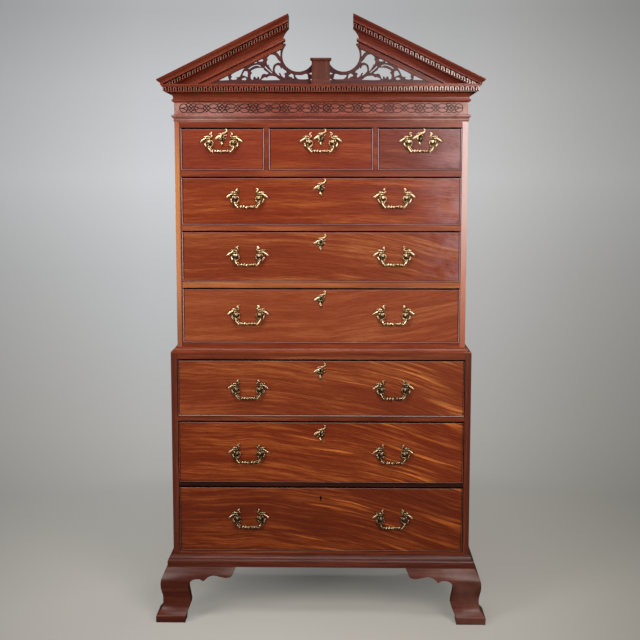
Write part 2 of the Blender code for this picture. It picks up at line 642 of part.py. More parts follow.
def front_foot():
    """Right front foot: two mitred ogee boards and a glue block in the corner."""
    profile = foot_profile()
    inner_x = LOWER_HALF - FOOT_REACH
    inner_y = LOWER_FRONT + FOOT_REACH
    rings = ([(inner_x, LOWER_FRONT - out, z) for out, z in profile],
             [(LOWER_HALF + out, LOWER_FRONT - out, z) for out, z in profile],
             [(LOWER_HALF + out, inner_y, z) for out, z in profile])
    mesh = mesh_from_rings(rings)
    wide = 2 * TOE_FLARE
    under_front = prism_y(foot_cutter_outline(LOWER_HALF, -1), LOWER_FRONT - wide, LOWER_FRONT + GLUE_BLOCK)
    under_side = prism_x(foot_cutter_outline(LOWER_FRONT, 1), LOWER_HALF - GLUE_BLOCK, LOWER_HALF + wide)
    mesh = combined(mesh, under_front, "DIFFERENCE")
    mesh = combined(mesh, under_side, "DIFFERENCE")
    edge = FOOT_INNER - OVERRUN
    glue = block((LOWER_HALF - GLUE_BLOCK, LOWER_FRONT + edge, GLUE_BLOCK_LIFT),
                 (LOWER_HALF - edge, LOWER_FRONT + GLUE_BLOCK, FOOT_HEIGHT))
    return combined(mesh, glue, "UNION")


def rear_foot():
    """Right rear foot: an ogee board on the side and a plain bracket across the back."""
    profile = foot_profile()
    rings = ([(LOWER_HALF + out, CASE_BACK - FOOT_REACH, z) for out, z in profile],
             [(LOWER_HALF + out, CASE_BACK, z) for out, z in profile])
    mesh = mesh_from_rings(rings)
    wide = 2 * TOE_FLARE
    under_side = prism_x(foot_cutter_outline(CASE_BACK, -1), LOWER_HALF - GLUE_BLOCK, LOWER_HALF + wide)
    mesh = combined(mesh, under_side, "DIFFERENCE")
    edge = FOOT_INNER - OVERRUN
    bracket = block((LOWER_HALF - FOOT_REACH, CASE_BACK - REAR_BRACKET, 0.0),
                    (LOWER_HALF - edge, CASE_BACK, FOOT_HEIGHT))
    under_back = prism_y(foot_cutter_outline(LOWER_HALF, -1), CASE_BACK - REAR_BRACKET - OVERRUN,
                         CASE_BACK + OVERRUN)
    bracket = combined(bracket, under_back, "DIFFERENCE")
    mesh = combined(mesh, bracket, "UNION")
    glue = block((LOWER_HALF - GLUE_BLOCK, CASE_BACK - GLUE_BLOCK, GLUE_BLOCK_LIFT),
                 (LOWER_HALF - edge, CASE_BACK - REAR_BRACKET + OVERRUN, FOOT_HEIGHT))
    return combined(mesh, glue, "UNION")


def add_feet(wood):
    for name, mesh in (("foot_front_", front_foot()), ("foot_rear_", rear_foot())):
        add_piece(name + "left", mirrored(mesh), wood)
        add_piece(name + "right", mesh, wood)


def drawer_rows():
    """Every drawer: name, left and right edges, bottom and top of its front, front plane, handles."""
    drawers = []
    number = len(LOWER_OPENINGS + UPPER_OPENINGS[:-1])
    level = LOWER_FLOOR
    reach = LOWER_HALF - LOWER_SIDE - DRAWER_SIDE_CLEARANCE
    for row, height in enumerate(LOWER_OPENINGS):
        drawers.append(("drawer_long_%d" % (number - row), -reach, reach, level, height, LOWER_FRONT, row,
                        (-LONG_HANDLE_X, LONG_HANDLE_X)))
        level += height + (LOWER_RAILS + (0.0,))[row]
    number -= len(LOWER_OPENINGS)
    level = UPPER_FLOOR
    reach = UPPER_HALF - UPPER_SIDE - DRAWER_SIDE_CLEARANCE
    for row, height in enumerate(UPPER_OPENINGS[:-1]):
        drawers.append(("drawer_long_%d" % (number - row), -reach, reach, level, height, UPPER_FRONT,
                        len(LOWER_OPENINGS) + row, (-LONG_HANDLE_X, LONG_HANDLE_X)))
        level += height + UPPER_RAILS[row]
    inside = PARTITION_CENTRE - PARTITION / 2 - DRAWER_SIDE_CLEARANCE
    outside = PARTITION_CENTRE + PARTITION / 2 + DRAWER_SIDE_CLEARANCE
    short_x = (outside + reach) / 2 + SHORT_HANDLE_OFFSET
    row = len(LOWER_OPENINGS + UPPER_OPENINGS[:-1])
    for label, left, right, handle in (("left", -reach, -outside, -short_x), ("middle", -inside, inside, 0.0),
                                       ("right", outside, reach, short_x)):
        drawers.append(("drawer_short_" + label, left, right, level, SHORT_OPENING, UPPER_FRONT, row,
                        (handle,)))
    return drawers


def bead_front(left, right, bottom, top, plane):
    """A drawer front with a raised bead round its edge."""
    front = plane - BEAD_PROUD
    back = plane + FRONT_THICKNESS
    outer = ((left, bottom), (right, bottom), (right, top), (left, top))
    inner = ((left + BEAD_WIDTH, bottom + BEAD_WIDTH), (right - BEAD_WIDTH, bottom + BEAD_WIDTH),
             (right - BEAD_WIDTH, top - BEAD_WIDTH), (left + BEAD_WIDTH, top - BEAD_WIDTH))
    rings = []
    for points, y in ((outer, back), (outer, front), (inner, front), (inner, plane)):
        rings.append([(x, y, z) for x, z in points])
    return mesh_from_rings(rings)


def keyhole_outline(x, z):
    """A round hole over a straight slot."""
    half = KEYHOLE_SLOT / 2
    points = []
    turn = math.asin(half / KEYHOLE_RADIUS)
    for step in range(KEYHOLE_ARC_STEPS + 1):
        angle = -math.pi / 2 + turn + (math.tau - 2 * turn) * step / KEYHOLE_ARC_STEPS
        points.append((x + KEYHOLE_RADIUS * math.cos(angle), z + KEYHOLE_RADIUS * math.sin(angle)))
    bottom = z + KEYHOLE_RADIUS - KEYHOLE_LENGTH
    return points + [(x - half, bottom), (x + half, bottom)]


def raised_plate(points, middle, plane, thickness):
    """A plate of (x, z) points let into the front, drawn in a little towards its top."""
    foot = [(x, plane + OVERRUN / 2, z) for x, z in points]
    rim = [(x, plane, z) for x, z in points]
    top = []
    for x, z in points:
        top.append((middle[0] + (x - middle[0]) * PLATE_TOP_SHARE, plane - thickness,
                    middle[1] + (z - middle[1]) * PLATE_TOP_SHARE))
    return mesh_from_rings((foot, rim, top))


def handle_mount(x, z, side, plane):
    """One plate and its post, bored for the bail."""
    points = [(x + side * across * PLATE_WIDTH, z + up * PLATE_HEIGHT) for across, up in PLATE_SHARES]
    plate = raised_plate(points, (x, z), plane, PLATE_THICKNESS)
    post = turned((x, plane + OVERRUN / 2, z), POST_RADIUS, POST_SIDES, (0, -1, 0),
                  POST_PROJECTION + OVERRUN / 2)
    return combined(plate, post, "UNION")


def bail_axis(plane):
    """How far forward the bails turn."""
    return plane - POST_PROJECTION + POST_RADIUS


def add_drawer_front(name, left, right, bottom, top, plane, handles, handle_z, keyhole_z, has_plate, wood):
    mesh = bead_front(left, right, bottom, top, plane)
    mounts = []
    bores = []
    for middle in handles:
        for side in (-1, 1):
            x = middle + side * POST_SPACING / 2
            mounts.append(handle_mount(x, handle_z, side, plane))
            start = x - side * (POST_RADIUS + OVERRUN)
            reach = POST_RADIUS + OVERRUN + BAIL_PIN_REACH + TOUCH_GAP
            bores.append(turned((start, bail_axis(plane), handle_z), BAIL_BORE, BAIL_BORE_SIDES,
                                (side, 0, 0), reach))
    keyhole_x = (left + right) / 2
    if has_plate:
        points = [(keyhole_x + across * ESCUTCHEON_WIDTH, keyhole_z + up * ESCUTCHEON_HEIGHT)
                  for across, up in ESCUTCHEON_SHARES]
        mounts.append(raised_plate(points, (keyhole_x, keyhole_z), plane, ESCUTCHEON_THICKNESS))
    mesh = combined(mesh, merged(mounts), "UNION")
    keyhole = prism_y(keyhole_outline(keyhole_x, keyhole_z + KEYHOLE_LENGTH / 4),
                      plane - ESCUTCHEON_THICKNESS - OVERRUN, plane + KEYHOLE_DEPTH)
    mesh = combined(mesh, merged(bores + [keyhole]), "DIFFERENCE")
    add_piece(name + "_front", mesh, wood, ((left + right) / 2, plane, bottom))


def add_drawer_box(name, left, right, bottom, top, plane, wood):
    """Sides, back and bottom behind the front, open on top."""
    front = plane + FRONT_THICKNESS + TOUCH_GAP
    back = PANEL_FRONT - DRAWER_BACK_CLEARANCE
    rim = top - BOX_TOP_DROP
    outer = block((left, front, bottom), (right, back, rim))
    hollow = block((left + DRAWER_WALL, front - OVERRUN, bottom + DRAWER_BOTTOM),
                   (right - DRAWER_WALL, back - DRAWER_WALL, rim + OVERRUN))
    add_piece(name + "_box", combined(outer, hollow, "DIFFERENCE"), wood, ((left + right) / 2, plane, bottom))


def bail_points():
    """The bail's middle line, from its left end to its right, as (across, down) in real sizes."""
    half = POST_SPACING / 2
    right = [(half + BAIL_PIN_REACH, 0.0)]
    right += [(across * half, down * BAIL_DROP) for across, down in BAIL_SHARES]
    return [(-across, down) for across, down in right[:-1]] + [(across, down) for across, down in
                                                               reversed(right)]


def add_bail(name, x, z, plane, brass):
    """A bail handle: a bent rod, thicker in its middle, that turns in its two posts."""
    line = bpy.data.curves.new(name, "CURVE")
    line.dimensions = "3D"
    line.bevel_depth = BAIL_WIRE
    line.bevel_resolution = 1
    line.use_fill_caps = True
    spline = line.splines.new("POLY")
    points = bail_points()
    spline.points.add(len(points) - 1)
    for point, (across, down) in zip(spline.points, points):
        point.co = (across, 0.0, -down, 1.0)
        along = abs(across) / (POST_SPACING / 2 * BAIL_THIN_SHARE)
        point.radius = 1.0 + (BAIL_FAT_SHARE - 1.0) * math.cos(math.pi / 2 * min(1.0, along))
    line.materials.append(brass)
    piece = bpy.data.objects.new(name, line)
    piece.location = (x, bail_axis(plane), z)
    bpy.context.collection.objects.link(piece)


def add_drawers(show_wood, plain_wood, brass):
    for name, left, right, level, height, plane, row, handles in drawer_rows():
        bottom = level + DRAWER_FLOOR_CLEARANCE
        top = level + height - DRAWER_TOP_CLEARANCE
        handle_z = bottom + HANDLE_HEIGHT_SHARES[row] * (top - bottom)
        keyhole_z = bottom + KEYHOLE_HEIGHT_SHARES[row] * (top - bottom)
        add_drawer_front(name, left, right, bottom, top, plane, handles, handle_z, keyhole_z, row > 0,
                         show_wood)
        add_drawer_box(name, left, right, bottom, top, plane, plain_wood)
        for index, x in enumerate(handles):
            label = name.replace("drawer", "bail")
            if len(handles) > 1:
                label += ("_left", "_right")[index]
            add_bail(label, x, handle_z, plane, brass)


def build():
    start_clean()
    mahogany = make_material("mahogany", (0.150, 0.036, 0.014), 0.32)
    mahogany_mouldings = make_material("mahogany_mouldings", (0.105, 0.027, 0.015), 0.34)
    mahogany_fronts = make_material("mahogany_fronts", (0.170, 0.042, 0.016), 0.28)
    oak = make_material("oak", (0.330, 0.200, 0.100), 0.60)
    brass = make_material("brass", (0.520, 0.400, 0.210), 0.35, 1.0)
    add_case_sides(mahogany)
    add_case_boards(mahogany, oak)
    add_rails(mahogany)
    add_base_moulding(mahogany_mouldings)
    add_waist_moulding(mahogany_mouldings)
    add_frieze(mahogany_mouldings)
    add_cornice(mahogany_mouldings)
    add_raking_cornices(mahogany_mouldings)
    add_fret(mahogany_mouldings)
    add_plinth(mahogany_mouldings)
    add_feet(mahogany_mouldings)
    add_drawers(mahogany_fronts, oak, brass)


build()
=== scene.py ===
"""Tallboy: a mahogany chest on chest with a pierced broken pediment and gilt rococo handles.

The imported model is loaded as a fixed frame, and each piece is dressed where it stands.
"""

import json
import math

import bmesh
import bpy
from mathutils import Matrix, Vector

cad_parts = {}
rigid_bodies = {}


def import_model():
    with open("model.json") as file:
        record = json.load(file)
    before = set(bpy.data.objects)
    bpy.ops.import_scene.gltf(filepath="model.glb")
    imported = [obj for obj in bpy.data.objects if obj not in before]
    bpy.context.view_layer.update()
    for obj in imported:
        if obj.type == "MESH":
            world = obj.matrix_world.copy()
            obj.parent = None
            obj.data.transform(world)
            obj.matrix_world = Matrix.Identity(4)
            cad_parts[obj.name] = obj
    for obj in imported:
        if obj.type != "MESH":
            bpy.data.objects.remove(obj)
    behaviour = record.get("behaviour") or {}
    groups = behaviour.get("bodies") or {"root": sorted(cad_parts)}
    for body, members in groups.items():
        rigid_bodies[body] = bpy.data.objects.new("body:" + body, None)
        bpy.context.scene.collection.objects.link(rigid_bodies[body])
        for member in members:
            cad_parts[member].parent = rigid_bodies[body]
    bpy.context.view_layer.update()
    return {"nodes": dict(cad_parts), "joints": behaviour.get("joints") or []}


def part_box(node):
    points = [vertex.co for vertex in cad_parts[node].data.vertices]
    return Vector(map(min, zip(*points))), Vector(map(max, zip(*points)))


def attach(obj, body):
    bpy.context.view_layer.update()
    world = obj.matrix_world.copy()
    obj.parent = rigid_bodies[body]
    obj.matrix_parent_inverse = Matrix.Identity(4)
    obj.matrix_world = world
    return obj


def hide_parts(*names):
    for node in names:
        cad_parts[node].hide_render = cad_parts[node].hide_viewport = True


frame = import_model()


# Feet
# Four ogee bracket feet of solid mahogany, sawn to a bold S and mitred at the corners. The bracket
# under the case is cut to a scalloped outline, and glue blocks behind hold the mitre.

lower_low, lower_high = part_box("lower_side_right")
LOWER_HALF = lower_high.x
LOWER_FRONT = lower_low.y
CASE_BACK = lower_high.y
foot_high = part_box("foot_front_right")[1]
FOOT_HEIGHT = foot_high.z
TOE_FLARE = foot_high.x - LOWER_HALF
FOOT_REACH = foot_high.y - LOWER_FRONT
FOOT_INNER = 0.006
GLUE_BLOCK = 0.044
GLUE_BLOCK_LIFT = 0.004
REAR_BRACKET = 0.020
OVERRUN = 0.002
TOE_ROUND = 0.004
TOE_STEPS = 4
FOOT_EDGE = 0.0010           # of wear on the feet's sharp edges

# How far the foot stands out, against the toe's flare, and the height, against the foot's height
FOOT_CURVE_SHARES = (
    (0.335, 1.0), (0.439, 0.946), (0.530, 0.902), (0.653, 0.830), (0.715, 0.773), (0.736, 0.701),
    (0.721, 0.625), (0.654, 0.533), (0.610, 0.465), (0.606, 0.380), (0.622, 0.290), (0.690, 0.232),
    (0.830, 0.176), (0.960, 0.142), (0.995, 0.128))
# Under edge of a foot: reach along the face, against FOOT_REACH, and the height
FOOT_SHANK_SHARES = ((0.198, -0.010), (0.207, 0.128), (0.250, 0.240), (0.280, 0.350), (0.268, 0.467),
                     (0.248, 0.592), (0.248, 0.670), (0.270, 0.740), (0.322, 0.787), (0.394, 0.799),
                     (0.440, 0.790), (0.480, 0.762))
FOOT_WING_SHARES = ((0.480, 0.762), (0.520, 0.803), (0.562, 0.838), (0.637, 0.861), (0.730, 0.843),
                    (0.824, 0.825), (0.896, 0.836), (0.933, 0.872), (0.950, 0.920), (0.981, 0.990))


def smooth_line(points, steps=6):
    """Points of a smooth line that passes through every given point."""
    ends = [2 * Vector(points[0]) - Vector(points[1])] + [Vector(point) for point in points]
    ends.append(2 * Vector(points[-1]) - Vector(points[-2]))
    line = []
    for before, start, end, after in zip(ends, ends[1:], ends[2:], ends[3:]):
        for step in range(steps):
            t = step / steps
            line.append(0.5 * (2 * start + (end - before) * t
                               + (2 * before - 5 * start + 4 * end - after) * t * t
                               + (3 * start - before - 3 * end + after) * t * t * t))
    line.append(Vector(points[-1]))
    return [tuple(point) for point in line]


def solid(rings, closed=False):
    """A solid through equal rings of points, with an end face on each unless it closes on itself."""
    shape = bmesh.new()
    loops = [[shape.verts.new(point) for point in ring] for ring in rings]
    count = len(loops[0])
    pairs = list(zip(loops, loops[1:]))
    if closed:
        pairs.append((loops[-1], loops[0]))
    for near, far in pairs:
        for index in range(count):
            after = (index + 1) % count
            shape.faces.new((near[index], near[after], far[after], far[index]))
    if not closed:
        shape.faces.new(loops[0])
        shape.faces.new(loops[-1])
    bmesh.ops.recalc_face_normals(shape, faces=shape.faces)
    mesh = bpy.data.meshes.new("solid")
    shape.to_mesh(mesh)
    shape.free()
    return mesh


def slab(points, start, end, axis):
    """A flat outline run along x or y from start to end."""
    if axis == "x":
        return solid([[(at, first, second) for first, second in points] for at in (start, end)])
    return solid([[(first, at, second) for first, second in points] for at in (start, end)])


def board(low, high):
    outline = ((low[0], low[2]), (high[0], low[2]), (high[0], high[2]), (low[0], high[2]))
    return slab(outline, low[1], high[1], "y")


def together(meshes):
    """Several meshes as one."""
    shape = bmesh.new()
    for mesh in meshes:
        shape.from_mesh(mesh)
    whole = bpy.data.meshes.new("together")
    shape.to_mesh(whole)
    shape.free()
    return whole


def finished(mesh, *changes):
    """The mesh after modifiers, each given as its kind and its settings."""
    holder = bpy.data.objects.new("holder", mesh)
    bpy.context.collection.objects.link(holder)
    tools = []
    for kind, settings in changes:
        change = holder.modifiers.new("change", kind)
        for name, value in settings.items():
            if isinstance(value, bpy.types.Mesh):
                value = bpy.data.objects.new("tool", value)
                bpy.context.collection.objects.link(value)
                tools.append(value)
            setattr(change, name, value)
    bpy.context.view_layer.update()
    result = bpy.data.meshes.new_from_object(holder.evaluated_get(bpy.context.evaluated_depsgraph_get()))
    for item in [holder] + tools:
        bpy.data.objects.remove(item)
    return result


def cut(mesh, tool):
    return finished(mesh, ("BOOLEAN", {"operation": "DIFFERENCE", "object": tool}))


def fused(mesh, tool):
    return finished(mesh, ("BOOLEAN", {"operation": "UNION", "object": tool}))


def mirrored(mesh):
    """The same shape on the other side of the middle."""
    shape = bmesh.new()
    shape.from_mesh(mesh)
    for vert in shape.verts:
        vert.co.x = -vert.co.x
    bmesh.ops.reverse_faces(shape, faces=shape.faces)
    other = bpy.data.meshes.new("mirrored")
    shape.to_mesh(other)
    shape.free()
    return other


def show(name, mesh, material, body, slot, *nodes, crease=32):
    """Puts a finished mesh in the scene as a piece that rides on a body and stands for its nodes."""
    mesh.name = name
    mesh.materials.clear()
    mesh.materials.append(material)
    mesh.shade_smooth()
    mesh.set_sharp_from_angle(angle=math.radians(crease))
    piece = bpy.data.objects.new(name, mesh)
    bpy.context.collection.objects.link(piece)
    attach(piece, body)
    if nodes:
        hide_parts(*nodes)
    return piece


def linear(code):
    """An sRGB hex value as the linear colour that a shader takes."""
    parts = [int(code[at:at + 2], 16) / 255 for at in (1, 3, 5)]
    return tuple(part / 12.92 if part <= 0.04045 else ((part + 0.055) / 1.055) ** 2.4
                 for part in parts) + (1.0,)


def add_node(tree, kind, settings=None, inputs=None, stops=()):
    """Adds a node with its settings, its inputs, each a value or the output that feeds it, and the
    (place, hex colour) stops of a colour ramp."""
    node = tree.nodes.new(kind)
    for name, value in (settings or {}).items():
        setattr(node, name, value)
    for socket, given in (inputs or {}).items():
        if isinstance(given, bpy.types.NodeSocket):
            tree.links.new(given, node.inputs[socket])
        else:
            node.inputs[socket].default_value = given
    if stops:
        elements = node.color_ramp.elements
        while len(elements) < len(stops):
            elements.new(1.0)
        for element, (place, code) in zip(elements, stops):
            element.position = place
            element.color = linear(code)
    return node


def here(tree):
    """The shaded point, in the piece's own axes."""
    return add_node(tree, "ShaderNodeTexCoord").outputs["Object"]


def split(tree, vector):
    return add_node(tree, "ShaderNodeSeparateXYZ", inputs={"Vector": vector}).outputs


def maths(tree, operation, *terms):
    """The result of an operation on values and outputs."""
    return add_node(tree, "ShaderNodeMath", {"operation": operation}, dict(enumerate(terms))).outputs[0]


def ranged(tree, given, low, high, start=0.0, end=1.0, kind="LINEAR"):
    """An output stretched so that low gives start and high gives end, and no more beyond them."""
    inputs = {"Value": given, "From Min": low, "From Max": high, "To Min": start, "To Max": end}
    return add_node(tree, "ShaderNodeMapRange", {"interpolation_type": kind}, inputs).outputs["Result"]


def blend(tree, share, first, second, kind="MIX"):
    """The first colour with a share of the second over it."""
    return add_node(tree, "ShaderNodeMix", {"data_type": "RGBA", "blend_type": kind},
                    {0: share, 6: first, 7: second}).outputs[2]


def ramp(tree, given, *stops):
    return add_node(tree, "ShaderNodeValToRGB", inputs={"Fac": given}, stops=stops).outputs["Color"]


def noise(tree, place, scale, detail, rough=0.5, stretch=(1.0, 1.0, 1.0)):
    """Cloudy noise round 0.5, drawn finer or longer along each axis by stretch."""
    place = add_node(tree, "ShaderNodeMapping", inputs={"Vector": place, "Scale": stretch}).outputs["Vector"]
    inputs = {"Vector": place, "Scale": scale, "Detail": detail, "Roughness": rough}
    return add_node(tree, "ShaderNodeTexNoise", inputs=inputs).outputs["Fac"]


def bump(tree, height, strength, distance):
    return add_node(tree, "ShaderNodeBump",
                    inputs={"Height": height, "Strength": strength, "Distance": distance}).outputs["Normal"]


def surface(tree, output, **inputs):
    """Gives the output a principled surface. Underscores in the names of inputs stand for spaces."""
    named = {name.replace("_", " "): given for name, given in inputs.items()}
    shader = add_node(tree, "ShaderNodeBsdfPrincipled", inputs=named)
    tree.links.new(shader.outputs["BSDF"], output.inputs["Surface"])


def new_material(name):
    """An empty material with its output, as (material, tree, output)."""
    material = bpy.data.materials.new(name)
    material.use_nodes = True
    tree = material.node_tree
    tree.nodes.clear()
    return material, tree, add_node(tree, "ShaderNodeOutputMaterial")


# Polished mahogany: an even red-brown with soft level bands, fine fibres and pores, and here and there
# a flame, a slim golden streak where the fibres dip and catch the light. French polish fills it to a
# gloss that blurs what it reflects. The pores of the real wood are 0.2 mm wide and are drawn 0.9 mm
# wide, so that they show.
BAND_WIDTH = 0.015
BAND_LENGTH = 0.380
FLAME_WIDTH = 0.0125
FLAME_LENGTH = 0.280
FIBRE_WIDTH = 0.0022
FIBRE_LENGTH = 0.070
PORE_WIDTH = 0.0009
PORE_LENGTH = 0.012
SWAYS_PER_METRE = 3.4        # of the slow wander of the grain up and down
SWAY = 0.040
PATCHES_PER_METRE = 4.5      # of the broad light and dark patches
SHEEN_CLOUDS_PER_METRE = 15.0      # of the clouds in the painted sheen
BAND_CONTRAST = 1.6          # share of the run from dark to light that each kind of mark covers
FIBRE_CONTRAST = 0.36
PATCH_CONTRAST = 0.07
FLAMES_FADE = 0.35           # metres across, over which flames fade in
FLAMES_LEAST = 0.20          # of the flames' full share, before that
PORE_MOST = 0.35             # of the dark colour in a pore
BEND_POWER = 1.6
EDGE_DEPTH = 0.003           # how far back the light colour of a board's front edge reaches
EDGE_BLUR = 0.002
EDGE_MOST = 0.78             # of that colour over the wood's own


def mahogany(name, dark, middle, light, turn=(0.0, 0.0, 0.0), shift=(0.0, 0.0, 0.0), bend=0.0,
             bend_from=0.0, bands=0.5, flames=0.3, flames_from=-2.0, roughness=0.36, bead_highlight=None,
             front=None, painted_sheen=None, specular=0.5):
    """Mahogany whose grain runs along X, or as turned. Bend curves the grain down from bend_from on, and
    the flames fade in from flames_from on. A board given a bead_highlight colour gets painted shade where
    its painted_shade attribute is high, and a painted highlight of that colour where its painted_highlight
    attribute is. Front gives the y of a board's front edge, how far out its light part begins, its foot and
    top, and that part's colours from foot to top, which are partly the edge's own wood and partly painted
    light. Painted_sheen gives where across the piece a painted sheen, standing in for a lamp's reflection,
    begins, where it is strongest, how much, its colour there, the least share of it in its clouds, and
    whether the left side does the same."""
    material, tree, output = new_material(name)
    spot = split(tree, here(tree))
    across = spot["X"]
    place = add_node(tree, "ShaderNodeMapping",
                     inputs={"Vector": here(tree), "Rotation": turn, "Location": shift}).outputs["Vector"]
    parts = split(tree, place)
    height = parts["Z"]
    if bend:
        past = maths(tree, "MAXIMUM", maths(tree, "SUBTRACT", parts["X"], bend_from), 0.0)
        height = maths(tree, "MULTIPLY_ADD", maths(tree, "POWER", past, BEND_POWER), bend, height)
    height = maths(tree, "MULTIPLY_ADD", noise(tree, place, SWAYS_PER_METRE, 2.0), SWAY, height)
    bent = add_node(tree, "ShaderNodeCombineXYZ",
                    inputs={"X": parts["X"], "Y": parts["Y"], "Z": height}).outputs["Vector"]
    band, flame, fibre, pore = [
        noise(tree, bent, 1.0, detail, rough, (1 / long, 1 / (4 * wide), 1 / wide))
        for long, wide, detail, rough in ((BAND_LENGTH, BAND_WIDTH, 3.0, 0.6),
                                          (FLAME_LENGTH, FLAME_WIDTH, 1.4, 0.5),
                                          (FIBRE_LENGTH, FIBRE_WIDTH, 2.0, 0.6),
                                          (PORE_LENGTH, PORE_WIDTH, 0.0, 0.5))]
    tone = maths(tree, "MULTIPLY_ADD", band, BAND_CONTRAST * bands, 0.5 - BAND_CONTRAST / 2 * bands)
    tone = maths(tree, "MULTIPLY_ADD", fibre, FIBRE_CONTRAST, tone)
    # Light and dark come in broad patches, and so do the flames
    patch = ranged(tree, noise(tree, bent, PATCHES_PER_METRE, 1.0, stretch=(0.5, 1.0, 2.4)), 0.43, 0.62)
    tone = maths(tree, "MULTIPLY_ADD", patch, PATCH_CONTRAST, tone)
    tone = maths(tree, "SUBTRACT", tone, (FIBRE_CONTRAST + PATCH_CONTRAST) / 2)
    wood = ramp(tree, tone, (0.15, dark), (0.50, middle), (0.85, light))
    fade = ranged(tree, across, flames_from, flames_from + FLAMES_FADE, FLAMES_LEAST * flames, flames)
    flame = maths(tree, "MULTIPLY", ranged(tree, flame, 0.55, 0.71, kind="SMOOTHSTEP"), patch)
    wood = blend(tree, maths(tree, "MULTIPLY", flame, fade), wood, linear(light))
    wood = blend(tree, ranged(tree, pore, 0.60, 0.72, 0.0, PORE_MOST), wood, linear(dark))
    # A board's front edge in its own colours: partly the edge's wood, partly a painted highlight on the upper
    # sides and painted shade on the lower
    if front:
        edge_y, edge_from, edge_foot, edge_top, edge_stops = front
        near = ranged(tree, spot["Y"], edge_y + EDGE_DEPTH, edge_y + EDGE_DEPTH - EDGE_BLUR, 0.0, EDGE_MOST)
        outer = ranged(tree, maths(tree, "ABSOLUTE", across), edge_from - EDGE_BLUR, edge_from + EDGE_BLUR)
        painted_edge_light = ramp(tree, ranged(tree, spot["Z"], edge_foot, edge_top), *edge_stops)
        wood = blend(tree, maths(tree, "MULTIPLY", near, outer), wood, painted_edge_light)
    # Painted sheen: a lamp's reflection painted as a pale, cloudy wash towards one side or both
    if painted_sheen:
        sheen_from, sheen_full, sheen_most, sheen_colour, sheen_least, both_sides = painted_sheen
        if both_sides:
            across = maths(tree, "ABSOLUTE", across)
        cloud = ranged(tree, noise(tree, bent, SHEEN_CLOUDS_PER_METRE, 4.0, 0.62), 0.36, 0.62, sheen_least)
        sheen_spread = ranged(tree, across, sheen_from, sheen_full, 0.0, sheen_most, "SMOOTHSTEP")
        wood = blend(tree, maths(tree, "MULTIPLY", cloud, sheen_spread), wood, linear(sheen_colour))
    shine = specular
    # Painted shade and a painted highlight on a beaded front's edges, read from its attributes; the painted
    # shade is duller too
    if bead_highlight:
        for attribute, code in (("painted_highlight", bead_highlight), ("painted_shade", "#0A0302")):
            amount = add_node(tree, "ShaderNodeAttribute", {"attribute_name": attribute}).outputs["Fac"]
            wood = blend(tree, amount, wood, linear(code))
        shine = maths(tree, "MULTIPLY_ADD", amount, -specular, specular)
    surface(tree, output, Base_Color=wood, IOR=1.45, Specular_IOR_Level=shine,
            Roughness=maths(tree, "MULTIPLY_ADD", fibre, 0.16, roughness - 0.08),
            Normal=bump(tree, fibre, 0.12, 0.0005))
    return material


# Its painted sheen lightens the feet on the right: a painted reflection of the right lamp
foot_wood = mahogany("polished mahogany of the feet", "#280F09", "#4C2015", "#76402E", bands=0.4, flames=0.2,
                     roughness=0.36, specular=0.34, painted_sheen=(0.30, 0.50, 0.25, "#8E665C", 0.3, False))


def foot_profile():
    """The S of a foot from the top down, its toe, and the flat inner side up again."""
    curve = smooth_line(FOOT_CURVE_SHARES, 3)
    outer = [(out * TOE_FLARE, up * FOOT_HEIGHT) for out, up in curve]
    outer.append((TOE_FLARE, outer[-1][1] - TOE_ROUND))
    for step in range(1, TOE_STEPS + 1):
        angle = math.pi / 2 * step / TOE_STEPS
        outer.append((TOE_FLARE - TOE_ROUND * (1 - math.cos(angle)), TOE_ROUND * (1 - math.sin(angle))))
    return outer + [(-FOOT_INNER, 0.0), (-FOOT_INNER, FOOT_HEIGHT)]


def bracket_outline(start, direction):
    """Space under a bracket, along a face from a corner of the case."""
    line = smooth_line(FOOT_SHANK_SHARES, 3)[:-1] + smooth_line(FOOT_WING_SHARES, 3)
    points = [(start + direction * along * FOOT_REACH, up * FOOT_HEIGHT) for along, up in line]
    end = points[-1][0]
    far = start + direction * (FOOT_REACH + OVERRUN)
    top = FOOT_HEIGHT + OVERRUN
    return points + [(end, top), (far, top), (far, points[0][1])]


def front_foot():
    rings = []
    for x_turn, y_turn in ((0, 1), (1, 1), (1, 0)):
        ring = []
        for out, z in foot_profile():
            x = LOWER_HALF + out if x_turn else LOWER_HALF - FOOT_REACH
            y = LOWER_FRONT - out if y_turn else LOWER_FRONT + FOOT_REACH
            ring.append((x, y, z))
        rings.append(ring)
    mesh = solid(rings)
    wide = 2 * TOE_FLARE
    mesh = cut(mesh, slab(bracket_outline(LOWER_HALF, -1), LOWER_FRONT - wide,
                          LOWER_FRONT + GLUE_BLOCK, "y"))
    mesh = cut(mesh, slab(bracket_outline(LOWER_FRONT, 1), LOWER_HALF - GLUE_BLOCK,
                          LOWER_HALF + wide, "x"))
    edge = FOOT_INNER - OVERRUN
    return fused(mesh, board((LOWER_HALF - GLUE_BLOCK, LOWER_FRONT + edge, GLUE_BLOCK_LIFT),
                             (LOWER_HALF - edge, LOWER_FRONT + GLUE_BLOCK, FOOT_HEIGHT)))


